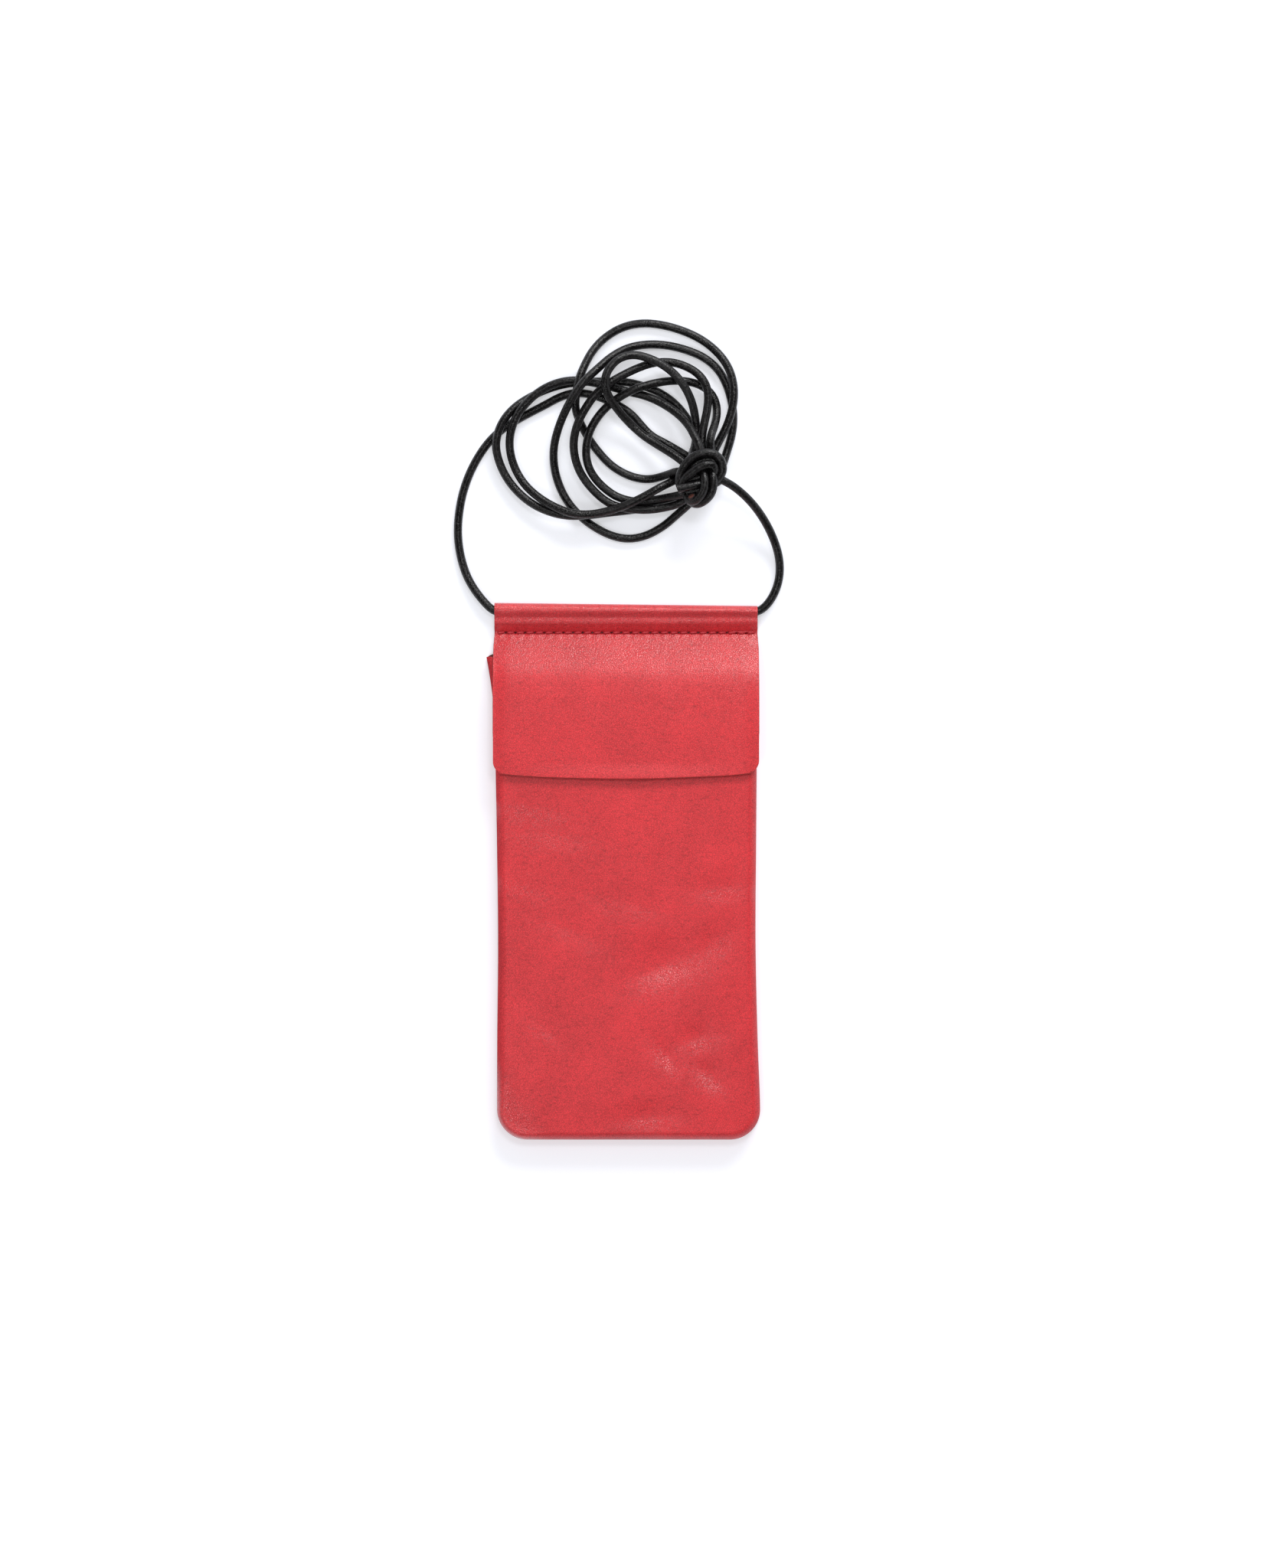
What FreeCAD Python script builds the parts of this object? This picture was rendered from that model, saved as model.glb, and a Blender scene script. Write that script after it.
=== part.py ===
import FreeCAD, Part
import math
import os

# A flat leather phone pouch on a neck cord, lying on its back. X is across, Y up the pouch
# towards the cord, Z up from the table. Millimetres, origin under the middle of the pouch.

# Pouch
pouch_height = 193.0
pocket_width = 94.0
phone_space = 8.6
mouth_opening = 5.0
leather = 1.0
bottom_corner_radius = 11.0
edge_roll = 3.0
roll_limit = 0.9
seam_roll = 0.6
back_roll = 0.8
seam_allowance = 4.0
mouth_below_stitches = 9.6
mouth_flare = 2.4
flare_length = 20.0
lip_slope_length = 22.0

# Cord tunnel, the fold along the top edge
tunnel_overhang = 0.3
tunnel_stitch_depth = 9.6
tunnel_landing = 0.8
tunnel_landing_radius = 1.4
cord_clearance = 0.35

# Flap
flap_overhang = 0.7
flap_length = 53.4
flap_bow = 2.0
flap_corner_radius = 3.5
flap_clearance = 0.35
flap_shoulder_radius = 8.0
hinge_below_stitches = 2.4
hinge_lift = 0.3
hinge_clearance = 0.2

# Sewing
stitch_thickness = 0.6
stitch_pitch = 3.47
stitch_gap = 0.9
stitch_sink = 0.35
bobbin_thickness = 0.5
bobbin_depth = 0.6
groove_clearance = 0.2
seam_thread = 0.5
seam_thread_clearance = 0.1
seam_line = 1.4

# Neck cord
cord_diameter = 3.0
cord_sides = 6
coil_rise = 3.6
gap_step = 1.5
gap_apart = 14.0
knot_chamfer = 2.0

# The cord's way from the left end of the tunnel to the coil, and from the right end to the knot.
LEFT_RUN = [
    (-53.3, 95.2, 3.0), (-56.3, 99.6, 2.6), (-58.6, 106.2, 2.0), (-60.0, 117.0, 1.6),
    (-60.0, 129.0, 1.5), (-57.8, 139.5, 1.5), (-54.0, 148.0, 1.5), (-48.4, 156.0, 1.5),
    (-41.0, 162.3, 1.5), (-31.2, 166.9, 1.5), (-20.0, 169.4, 1.5), (-9.0, 168.6, 1.5),
    (0.0, 165.6, 1.5), (7.6, 159.3, 1.5),
]
RIGHT_RUN = [
    (52.9, 94.6, 2.9), (54.4, 97.2, 2.7), (55.2, 101.8, 2.4), (55.6, 109.0, 2.4),
    (53.6, 118.4, 4.0), (49.0, 127.4, 7.0), (43.6, 133.9, 10.8), (38.0, 138.0, 14.2),
]

# The coil, in the order it is laid. Each turn runs clockwise: under the knot, along the
# bottom, up the left side, over the top and down the right side. The third number is the layer
# that the cord lies in there, 0 on the table and 1 on one cord, as the picture's crossings show.
TURNS = [
    [(24.9, 137.8, 0), (-13.6, 127.9, 0), (-46.6, 152.1, 1), (-12.5, 177.1, 0), (26.8, 155.4, 1)],
    [(21.6, 135.6, 1), (-18.0, 132.6, 1), (-41.1, 152.1, 1.5), (-7.6, 172.7, 1), (22.4, 157.6, 2)],
    [(20.8, 146.3, 1), (7.8, 141.1, 0), (-18.3, 170.2, 2), (9.8, 196.9, 0), (40.0, 173.5, 0)],
    [(31.5, 136.1, 0), (1.0, 120.7, 0.5), (-26.5, 151.5, 3), (12.5, 189.8, 3), (36.4, 163.4, 3)],
    [(27.4, 140.0, 3), (6.7, 134.8, 3), (-14.4, 152.6, 3), (16.6, 176.8, 2), (33.1, 164.5, 1)],
    [(26.0, 134.5, 2), (2.9, 130.4, 3), (-18.6, 151.5, 3), (13.9, 183.4, 2), (29.3, 168.9, 3)],
    [(23.5, 146.6, 3), (15.5, 149.9, 3), (-7.6, 176.8, 4), (4.3, 185.4, 4), (24.9, 162.5, 3)],
]
TURN_HEADINGS = [(-0.75, -0.66), (-1.0, 0.0), (0.0, 1.0), (1.0, 0.0), (0.0, -1.0)]
LAST_TURN_HEADINGS = [(-1.0, 0.1), (-0.87, 0.5), (0.0, 1.0), (1.0, 0.0), (0.0, -1.0)]
COIL_START = (14.4, 155.4, 0)
COIL_RETURN = (31.5, 144.9, 0)
COIL_RETURN_HEADING = (0.0, -1.0)
COIL_END = (26.4, 152.4, 4)
COIL_END_HEADING = (0.1, -1.0)

# The knot: arched strands of the cord, each from end to end by way of its middle, with their
# ends in a chamfered body, and two tails with square cut ends.
KNOT_LOW = (21.6, 133.4, 14.7)
KNOT_SIZE = (11.6, 15.2, 5.2)
KNOT_STRANDS = [
    [(23.2, 138.2, 17.1), (27.0, 150.9, 18.9), (32.4, 139.2, 16.9)],
    [(23.6, 140.6, 18.1), (27.4, 147.2, 20.7), (32.0, 142.6, 17.9)],
    [(28.2, 147.0, 17.5), (27.9, 140.8, 20.9), (26.4, 135.4, 17.3)],
    [(31.4, 146.4, 17.3), (31.6, 140.4, 20.5), (29.4, 135.6, 17.1)],
]
KNOT_TAILS = [
    [(27.0, 139.6, 18.7), (18.4, 138.0, 19.3)],
    [(26.8, 136.0, 17.1), (21.4, 132.6, 17.5)],
]

V = FreeCAD.Vector
X_AXIS, Z_AXIS = V(1, 0, 0), V(0, 0, 1)

# Places that follow from the sizes above.
bottom_y = -pouch_height / 2
top_y = pouch_height / 2
half_width = pocket_width / 2
tunnel_width = pocket_width + 2 * tunnel_overhang
flap_width = pocket_width + 2 * flap_overhang
stitch_y = top_y - tunnel_stitch_depth
mouth_y = stitch_y - mouth_below_stitches
seam_gap = seam_thread + seam_thread_clearance
seam_height = 2 * leather + seam_gap
pouch_thickness = phone_space + 2 * leather
lip_height = mouth_opening + 2 * leather
lip_drop = pouch_thickness - lip_height
lip_start_y = mouth_y - lip_slope_length
lip_radius = (lip_slope_length ** 2 + lip_drop ** 2) / (2 * lip_drop)
top_roll = min(edge_roll, roll_limit * (lip_height - leather - seam_height))
flare_start_y = mouth_y - flare_length
flare_radius = (flare_length ** 2 + mouth_flare ** 2) / (2 * mouth_flare)
cord_radius = cord_diameter / 2
bore_radius = cord_radius + cord_clearance
fold_radius = bore_radius + leather
cord_y = top_y - fold_radius
cord_z = fold_radius
hinge_y = stitch_y - hinge_below_stitches
hinge_z = leather + hinge_lift + leather / 2
stitch_count = int(tunnel_width / stitch_pitch)
tunnel_rise = math.atan2(cord_z - hinge_z, cord_y - hinge_y)
tunnel_reach = math.hypot(cord_z - hinge_z, cord_y - hinge_y)
open_rest = tunnel_rise + math.asin((fold_radius + leather / 2 + flap_clearance) / tunnel_reach)
overcut = 0.5


def arc_edge(a, middle, b):
    """The circular edge from a to b by way of the middle point."""
    return Part.Arc(a, middle, b).toShape()


def line_edge(a, b):
    """The straight edge from a to b."""
    return Part.makeLine(a, b)


def pocket_face(inset, end_y, z):
    """The pocket's outline, moved in by inset and cut off square at end_y: straight sides, round
    bottom corners, and a left side that bends out to the mouth along one arc."""
    left, right = -half_width + inset, half_width - inset
    low = bottom_y + inset
    corner = bottom_corner_radius - inset
    turn = corner * (1 - math.sqrt(0.5))
    flare_centre = -half_width - flare_radius
    flare_r = flare_radius + inset

    def flare_point(y):
        return V(flare_centre + math.sqrt(flare_r ** 2 - (y - flare_start_y) ** 2), y, z)

    end = flare_point(end_y)
    half_way = flare_point((flare_start_y + end_y) / 2)
    edges = [
        arc_edge(end, half_way, V(left, flare_start_y, z)),
        line_edge(V(left, flare_start_y, z), V(left, low + corner, z)),
        arc_edge(V(left, low + corner, z), V(left + turn, low + turn, z), V(left + corner, low, z)),
        line_edge(V(left + corner, low, z), V(right - corner, low, z)),
        arc_edge(V(right - corner, low, z), V(right - turn, low + turn, z), V(right, low + corner, z)),
        line_edge(V(right, low + corner, z), V(right, end_y, z)),
        line_edge(V(right, end_y, z), end),
    ]
    return Part.Face(Part.Wire(edges))


def rim_edges(solid, z, end_y):
    """The edges of a solid that lie at height z, all but the straight one at end_y."""
    found = []
    for edge in solid.Edges:
        box = edge.BoundBox
        if abs(box.ZMin - z) > 0.01 or abs(box.ZMax - z) > 0.01:
            continue
        if abs(box.YMin - end_y) < 0.01:
            continue
        found.append(edge)
    return found


def profile_solid(edges, width):
    """A profile in the YZ plane at x = 0, drawn out to half the width on both sides."""
    face = Part.Face(Part.Wire(Part.__sortEdges__(edges)))
    face.translate(V(-width / 2, 0, 0))
    return face.extrude(V(width, 0, 0))


def yz(y, z):
    """A point of a profile in the YZ plane."""
    return V(0, y, z)


def pocket_block(inset, end_y, low_z):
    """The space under the front leather's face, moved in by inset: the outline's prism with its
    top bent down to the lip, and its top edge rolled over."""
    top = pouch_thickness - inset
    centre_z = pouch_thickness - lip_radius
    radius = lip_radius - inset
    before = bottom_y - overcut

    def slope_point(y):
        return yz(y, centre_z + math.sqrt(radius ** 2 - (y - lip_start_y) ** 2))

    lip = slope_point(end_y)
    side = [
        line_edge(yz(before, low_z), yz(end_y, low_z)),
        line_edge(yz(end_y, low_z), lip),
        arc_edge(lip, slope_point((lip_start_y + end_y) / 2), yz(lip_start_y, top)),
        line_edge(yz(lip_start_y, top), yz(before, top)),
        line_edge(yz(before, top), yz(before, low_z)),
    ]
    prism = pocket_face(inset, end_y, low_z).extrude(V(0, 0, pouch_thickness))
    block = prism.common(profile_solid(side, 2 * pocket_width))
    rim = []
    for edge in block.Edges:
        box = edge.BoundBox
        across = box.YLength < 0.01 and box.YMin > bottom_y + bottom_corner_radius
        if box.ZMin > lip.z - 0.01 and not across:
            rim.append(edge)
    return block.makeFillet(top_roll - inset, rim)


def make_front():
    """The front leather: a shallow shell, open at the mouth, with its edges turned in under it
    as a flange along both sides and the bottom."""
    outer = pocket_block(0, mouth_y, seam_height)
    outer = outer.makeFillet(seam_roll, rim_edges(outer, seam_height, mouth_y))
    inner = pocket_block(leather, mouth_y + overcut, seam_height + leather)
    window = pocket_face(leather + seam_allowance, mouth_y + overcut, seam_height - overcut)
    return outer.cut(inner).cut(window.extrude(V(0, 0, leather + 2 * overcut)))


def make_tunnel():
    """The fold over the cord, with the back leather below it down to the mouth. Its front layer
    slopes down to the stitches and ends in a round seat for the flap's edge."""
    middle_radius = bore_radius + leather / 2
    landing_y = stitch_y + tunnel_landing
    landing_z = 1.5 * leather + tunnel_landing_radius
    aside, above = cord_y - landing_y, landing_z - cord_z
    lean = math.acos((middle_radius + tunnel_landing_radius) / math.hypot(aside, above))
    slope = math.atan2(aside, above) - lean

    def leave(radius):
        return yz(cord_y - radius * math.sin(slope), cord_z + radius * math.cos(slope))

    def land(angle):
        radius = tunnel_landing_radius - leather / 2
        return yz(landing_y + radius * math.sin(angle), landing_z - radius * math.cos(angle))

    outer, inner = leave(fold_radius), leave(bore_radius)
    fold = yz(top_y, cord_z)
    start_y = mouth_y - overcut
    end_y = hinge_y + leather / 2
    upper = 2 * leather
    skin = [
        line_edge(yz(start_y, 0), yz(cord_y, 0)),
        arc_edge(yz(cord_y, 0), fold, outer),
        line_edge(outer, land(slope)),
        arc_edge(land(slope), land(slope / 2), yz(landing_y, upper)),
        line_edge(yz(landing_y, upper), yz(end_y, upper)),
        line_edge(yz(end_y, upper), yz(end_y, leather)),
        line_edge(yz(end_y, leather), yz(start_y, leather)),
        line_edge(yz(start_y, leather), yz(start_y, 0)),
    ]
    tip = yz(inner.y - (inner.z - leather) / math.tan(slope), leather)
    bore = [
        arc_edge(yz(cord_y, leather), yz(cord_y + bore_radius, cord_z), inner),
        line_edge(inner, tip),
        line_edge(tip, yz(cord_y, leather)),
    ]
    length = tunnel_width + 2 * overcut
    tunnel = profile_solid(skin, tunnel_width).cut(profile_solid(bore, length))
    left = X_AXIS * (-length / 2)
    root, seat_radius = yz(hinge_y, hinge_z), leather / 2 + hinge_clearance
    seat = Part.makeCylinder(seat_radius, length, root + left, X_AXIS)
    foot = root + yz(math.sin(open_rest), -math.cos(open_rest)) * seat_radius
    far = foot + yz(math.cos(open_rest), math.sin(open_rest)) * hinge_below_stitches
    corners = [root, foot, far, yz(far.y, root.z + fold_radius), yz(root.y, root.z + fold_radius)]
    bevel = profile_solid(Part.makePolygon(corners + [root]).Edges, length)
    wide = stitch_thickness + groove_clearance
    groove_y = stitch_y - wide / 2
    needle = Part.makeBox(length, wide, leather, yz(groove_y, upper - stitch_sink) + left)
    bobbin = Part.makeBox(length, wide, bobbin_depth + overcut, yz(groove_y, -overcut) + left)
    return tunnel.cut(seat).cut(bevel).cut(needle).cut(bobbin)


def make_back():
    """The back leather: a flat sheet with its edges rolled up and turned in as a flange, and the
    fold for the cord at its top."""
    tray = pocket_face(0, mouth_y, 0).extrude(V(0, 0, seam_height))
    tray = tray.makeFillet(back_roll, rim_edges(tray, 0, mouth_y))
    tray = tray.makeFillet(seam_roll, rim_edges(tray, seam_height, mouth_y))
    channel = pocket_face(leather, mouth_y + overcut, leather)
    window = pocket_face(leather + seam_allowance, mouth_y + overcut, leather)
    tray = tray.cut(channel.extrude(V(0, 0, seam_gap)))
    tray = tray.cut(window.extrude(V(0, 0, seam_height)))
    return tray.fuse(make_tunnel()).removeSplitter()


def make_flap():
    """The flap: a sheet that leaves its round root on the hinge line, climbs over the pocket's
    lip along one arc and lies along the front, cut to a bowed lower edge with round corners."""
    root = yz(hinge_y, hinge_z)
    centre = yz(lip_start_y, pouch_thickness - lip_radius)
    middle_radius = lip_radius + flap_clearance + leather / 2
    lip_turn = math.asin(lip_slope_length / lip_radius)

    def around(point, radius, angle):
        return point + yz(radius * math.sin(angle), radius * math.cos(angle))

    shoulder = around(centre, middle_radius - flap_shoulder_radius, lip_turn)
    away = root - shoulder
    root_turn = math.atan2(away.y, away.z) - math.acos(flap_shoulder_radius / away.Length)
    low_y = stitch_y - flap_length

    def side(offset):
        """The points of one face of the sheet, from the lower edge to the root."""
        large, small = middle_radius + offset, flap_shoulder_radius + offset
        return [
            yz(low_y - overcut, centre.z + large),
            around(centre, large, 0),
            around(centre, large, lip_turn / 2),
            around(centre, large, lip_turn),
            around(shoulder, small, (lip_turn + root_turn) / 2),
            around(shoulder, small, root_turn),
            around(root, offset, root_turn),
        ]

    under, over = side(-leather / 2), side(leather / 2)
    edges = [line_edge(under[0], over[0])]
    for p in (under, over):
        edges.append(line_edge(p[0], p[1]))
        edges.append(arc_edge(p[1], p[2], p[3]))
        edges.append(arc_edge(p[3], p[4], p[5]))
        edges.append(line_edge(p[5], p[6]))
    edges.append(arc_edge(under[6], around(root, leather / 2, root_turn + math.pi / 2), over[6]))
    sheet = profile_solid(edges, flap_width)

    half = flap_width / 2
    side_y = low_y + flap_bow
    plan = Part.Wire([
        line_edge(V(-half, top_y, 0), V(-half, side_y, 0)),
        arc_edge(V(-half, side_y, 0), V(0, low_y, 0), V(half, side_y, 0)),
        line_edge(V(half, side_y, 0), V(half, top_y, 0)),
        line_edge(V(half, top_y, 0), V(-half, top_y, 0)),
    ])
    cutter = Part.Face(plan).extrude(V(0, 0, 2 * pouch_thickness))
    corners = [e for e in cutter.Edges if e.BoundBox.ZLength > overcut and e.BoundBox.YMax < side_y + overcut]
    print("the flap opens by %.1f degrees" % (180 - math.degrees(root_turn + open_rest)))
    return sheet.common(cutter.makeFillet(flap_corner_radius, corners))


def stitch_row(low_z, height):
    """The tunnel's row of stitches: short six-sided bars in line, flat below and above."""
    size = height / math.sqrt(3)
    length = stitch_pitch - stitch_gap
    bars = []
    for i in range(stitch_count):
        x = (i - (stitch_count - 1) / 2) * stitch_pitch - length / 2
        ring = []
        for k in range(7):
            angle = math.pi * k / 3
            ring.append(V(x, stitch_y + size * math.cos(angle), low_z + height / 2 + size * math.sin(angle)))
        bars.append(Part.Face(Part.makePolygon(ring)).extrude(X_AXIS * length))
    return Part.makeCompound(bars)


def seam_row(low_z):
    """One thread of the pocket seam: a thin bar along both sides and the bottom."""
    inset = leather + seam_line
    end_y = mouth_y - leather
    outer = pocket_face(inset, end_y, low_z).extrude(Z_AXIS * seam_thread)
    inner = pocket_face(inset + seam_thread, end_y, low_z).extrude(Z_AXIS * seam_thread)
    return outer.cut(inner)


def unit(v):
    """The direction of a vector."""
    return v * (1 / v.Length)


def bend(a, corner, b):
    """The arc that leaves a towards the corner and reaches b from it, both equally far from it;
    its edge and its radius."""
    along, onward = unit(corner - a), unit(b - corner)
    turn = math.acos(max(-1.0, min(1.0, along.dot(onward))))
    radius = (corner - a).Length / math.tan(turn / 2)
    inward = unit(onward - along * onward.dot(along))
    middle = a + along * (radius * math.sin(turn / 2)) + inward * (radius * (1 - math.cos(turn / 2)))
    return arc_edge(a, middle, b), radius


def run_edges(points):
    """Straight runs between the points, joined by tangent arcs that take 45 % of the shorter
    run at each corner; the edges and the least radius."""
    edges, radii = [], []
    here = points[0]
    for before, corner, after in zip(points, points[1:], points[2:]):
        back = min((corner - before).Length, (after - corner).Length) * 0.45
        enter = corner + unit(before - corner) * back
        leave = corner + unit(after - corner) * back
        arc, radius = bend(enter, corner, leave)
        edges += [line_edge(here, enter), arc]
        radii.append(radius)
        here = leave
    edges.append(line_edge(here, points[-1]))
    return edges, radii


def loop_edges(stations):
    """Two arcs from each station to the next, level at the stations, that meet half way in one
    direction; the edges and their radii."""
    edges, radii = [], []
    for (p, t), (q, u) in zip(stations, stations[1:]):
        gap, both = q - p, t + u
        spread = 1 - t.dot(u)
        along = gap.dot(both)
        reach = (math.sqrt(along ** 2 + 2 * spread * gap.dot(gap)) - along) / (2 * spread)
        first, second = p + t * reach, q - u * reach
        half_way = (first + second) * 0.5
        for a, corner, b in ((p, first, half_way), (half_way, second, q)):
            arc, radius = bend(a, corner, b)
            edges.append(arc)
            radii.append(radius)
    return edges, radii


def cord_ring(centre, heading):
    """The cord's faceted section square to its heading, with two level sides."""
    across = unit(heading.cross(Z_AXIS))
    up = unit(across.cross(heading))
    ring = []
    for k in range(cord_sides + 1):
        angle = 2 * math.pi * k / cord_sides
        ring.append(centre + across * (cord_radius * math.cos(angle)) + up * (cord_radius * math.sin(angle)))
    return Part.makePolygon(ring)


def tube(edges, heading, name):
    """The cord along a chain of edges, one unbroken tube."""
    ring = cord_ring(edges[0].valueAt(edges[0].FirstParameter), heading)
    path = Part.Wire(edges)
    solid = path.makePipeShell([ring], True, False)
    share = solid.Volume / (Part.Face(ring).Area * path.Length)
    print("%s: %.1f mm long, volume %.3f of section x length" % (name, path.Length, share))
    return solid


def least_gap(edges):
    """The least clear distance of the cord from itself, between points that are gap_apart or more
    from each other along it."""
    points, travelled, at = [], [], 0.0
    for edge in edges:
        count = max(2, int(edge.Length / gap_step))
        points += edge.discretize(Number=count + 1)[:-1]
        travelled += [at + edge.Length * i / count for i in range(count)]
        at += edge.Length
    least = 1e9
    for i, p in enumerate(points):
        for j in range(i + 1, len(points)):
            if travelled[j] - travelled[i] > gap_apart:
                least = min(least, (points[j] - p).Length)
    return least - cord_diameter


def make_knot(ends):
    """The overhand knot: its body, the strands and tails, and a stub that meets each of the
    cord's two ends, given as a point and the direction into the knot."""
    body = Part.makeBox(*KNOT_SIZE, V(*KNOT_LOW))
    body = body.makeChamfer(knot_chamfer, body.Edges)
    pieces = []
    for a, b, c in KNOT_STRANDS:
        arc = arc_edge(V(*a), V(*b), V(*c))
        section = Part.Face(cord_ring(V(*a), arc.tangentAt(arc.FirstParameter)))
        turn = math.degrees(arc.LastParameter - arc.FirstParameter)
        pieces.append(section.revolve(arc.Curve.Center, arc.Curve.Axis, turn))
    for a, b in KNOT_TAILS:
        way = V(*b) - V(*a)
        pieces.append(Part.Face(cord_ring(V(*a), way)).extrude(way))
    for end, heading in ends:
        reach = (body.BoundBox.Center - end).dot(heading)
        pieces.append(Part.Face(cord_ring(end, heading)).extrude(heading * reach))
    return body.multiFuse(pieces)


def vectors(points):
    """Typed points as vectors."""
    return [V(*p) for p in points]


def layered(point):
    """A place in the coil, given as x, y and layer."""
    x, y, layer = point
    return V(x, y, cord_radius + layer * coil_rise)


os.makedirs("parts", exist_ok=True)
parts = {"back_panel": make_back(), "front_panel": make_front(), "flap": make_flap()}
parts["tunnel_needle_thread"] = stitch_row(2 * leather - stitch_sink, stitch_thickness)
parts["tunnel_bobbin_thread"] = stitch_row(bobbin_depth - bobbin_thickness, bobbin_thickness)
parts["pocket_needle_thread"] = seam_row(seam_height + leather)
parts["pocket_bobbin_thread"] = seam_row(seam_height - leather - seam_thread)

left_end, right_end = V(-tunnel_width / 2, cord_y, cord_z), V(tunnel_width / 2, cord_y, cord_z)
parts["cord_in_tunnel"] = Part.makeCylinder(cord_radius, tunnel_width, left_end, X_AXIS)
lead = X_AXIS * cord_diameter

left_points = [left_end, left_end - lead] + vectors(LEFT_RUN) + [layered(COIL_START)]
left_path, left_radii = run_edges(left_points)
parts["cord_left_run"] = tube(left_path, X_AXIS * -1, "cord_left_run")

coil_heading = unit(left_points[-1] - left_points[-2])
stations = [(layered(COIL_START), coil_heading), (layered(COIL_RETURN), unit(V(*COIL_RETURN_HEADING, 0)))]
for turn in TURNS:
    headings = LAST_TURN_HEADINGS if turn is TURNS[-1] else TURN_HEADINGS
    stations += [(layered(p), unit(V(*h, 0))) for p, h in zip(turn, headings)]
stations.append((layered(COIL_END), unit(V(*COIL_END_HEADING, 0))))
coil_path, coil_radii = loop_edges(stations)
parts["cord_loops"] = tube(coil_path, coil_heading, "cord_loops")

right_points = [right_end, right_end + lead] + vectors(RIGHT_RUN)
right_path, right_radii = run_edges(right_points)
parts["cord_right_run"] = tube(right_path, X_AXIS, "cord_right_run")
right_heading = unit(right_points[-1] - right_points[-2])
parts["cord_knot"] = make_knot([stations[-1], (right_points[-1], right_heading)])

print("left run radii", [round(r, 1) for r in left_radii])
print("right run radii", [round(r, 1) for r in right_radii])
print("least coil radius %.1f" % min(coil_radii))
print("least gap of the cord to itself %.2f" % least_gap(left_path + coil_path))
for name, shape in parts.items():
    print(name, shape.isValid(), len(shape.Solids), round(shape.Volume, 1), shape.BoundBox)
    shape.exportStep("parts/%s.step" % name)
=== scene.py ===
import math

import bpy
import numpy as np
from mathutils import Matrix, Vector


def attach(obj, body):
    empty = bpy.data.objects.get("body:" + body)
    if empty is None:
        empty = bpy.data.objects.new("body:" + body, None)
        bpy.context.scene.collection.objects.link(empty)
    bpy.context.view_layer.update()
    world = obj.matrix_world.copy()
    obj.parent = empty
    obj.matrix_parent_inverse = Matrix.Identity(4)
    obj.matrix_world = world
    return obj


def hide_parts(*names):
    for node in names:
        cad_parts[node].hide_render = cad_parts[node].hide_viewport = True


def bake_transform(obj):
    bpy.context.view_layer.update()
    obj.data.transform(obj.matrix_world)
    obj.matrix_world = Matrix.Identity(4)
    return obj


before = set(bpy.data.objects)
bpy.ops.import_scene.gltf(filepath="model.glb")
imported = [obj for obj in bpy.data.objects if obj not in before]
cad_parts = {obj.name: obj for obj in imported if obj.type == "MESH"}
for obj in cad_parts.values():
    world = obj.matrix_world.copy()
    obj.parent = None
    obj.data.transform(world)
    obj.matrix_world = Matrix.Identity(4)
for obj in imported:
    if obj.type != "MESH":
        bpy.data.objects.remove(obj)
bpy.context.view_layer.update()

# A flat red leather phone pouch on a black neck cord, lying on its back. Shapes are worked out in
# millimetres, in the frame of the solids, and put into the meshes in metres.
MM = 0.001

# Sizes of the leather, the sewing and the cord, which are the solids' own or close to them.
BOTTOM_Y = -96.5
STITCH_Y = 86.2
MOUTH_Y = 77.3
LEATHER = 1.0
SEAM_Z = 2.6
FRONT_Z = 10.6
LIP_Z = 5.3
LIP_START_Y = 51.3
CORNER_RADIUS = 11.0
POCKET_WIDTH = 94.0
FRONT_ROLL = 3.2
BACK_ROLL = 2.2
BACK_END_Y = 91.5
TUNNEL_HALF = 47.3
FLAP_HALF = 47.7
FLAP_STRAIGHT_Y = 50.0
FLAP_Z = 12.0
STITCH_PITCH = 3.47
STITCH_COUNT = 27
STITCHED_HALF = 45.15
CORD_DIAMETER = 3.0

UP = np.array([0.0, 0.0, 1.0])


def smoothstep(low, high, value):
    """0 below low, 1 above high, and the even cubic 3t^2 - 2t^3 between them."""
    t = np.clip((value - low) / (high - low), 0.0, 1.0)
    return t * t * (3.0 - 2.0 * t)


def ripple(x, y, length, seed):
    """Soft uneven waves from -1 to 1: the mean of eight sine waves of about the given length, each
    with a direction and phase of its own."""
    count = 8
    dice = np.random.default_rng(seed)
    total = np.zeros_like(x)
    for turn, phase, share in dice.uniform((0, 0, 0.7), (math.pi, 2 * math.pi, 1.4), (count, 3)):
        onward = x * math.cos(turn) + y * math.sin(turn)
        total = total + np.sin(2 * math.pi * share / length * onward + phase)
    return total / count


def dent(x, y, centre, degrees, long, below, above):
    """A hollow from 0 to 1: a bell curve along a line at the given angle through the centre, times a
    bell curve across it that is as wide as below on the lower side and as above on the upper side. Also
    the share of its greatest slope on the lower side: t exp(-t^2) over its greatest value, 1 / 2.33."""
    to_greatest = 2.33
    turn = math.radians(degrees)
    along = (x - centre[0]) * math.cos(turn) + (y - centre[1]) * math.sin(turn)
    across = (y - centre[1]) * math.cos(turn) - (x - centre[0]) * math.sin(turn)
    wide = np.where(across < 0, below, above)
    hollow = np.exp(-(along / long) ** 2 - (across / wide) ** 2)
    return hollow, to_greatest * np.maximum(-across / below, 0.0) * hollow


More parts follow.
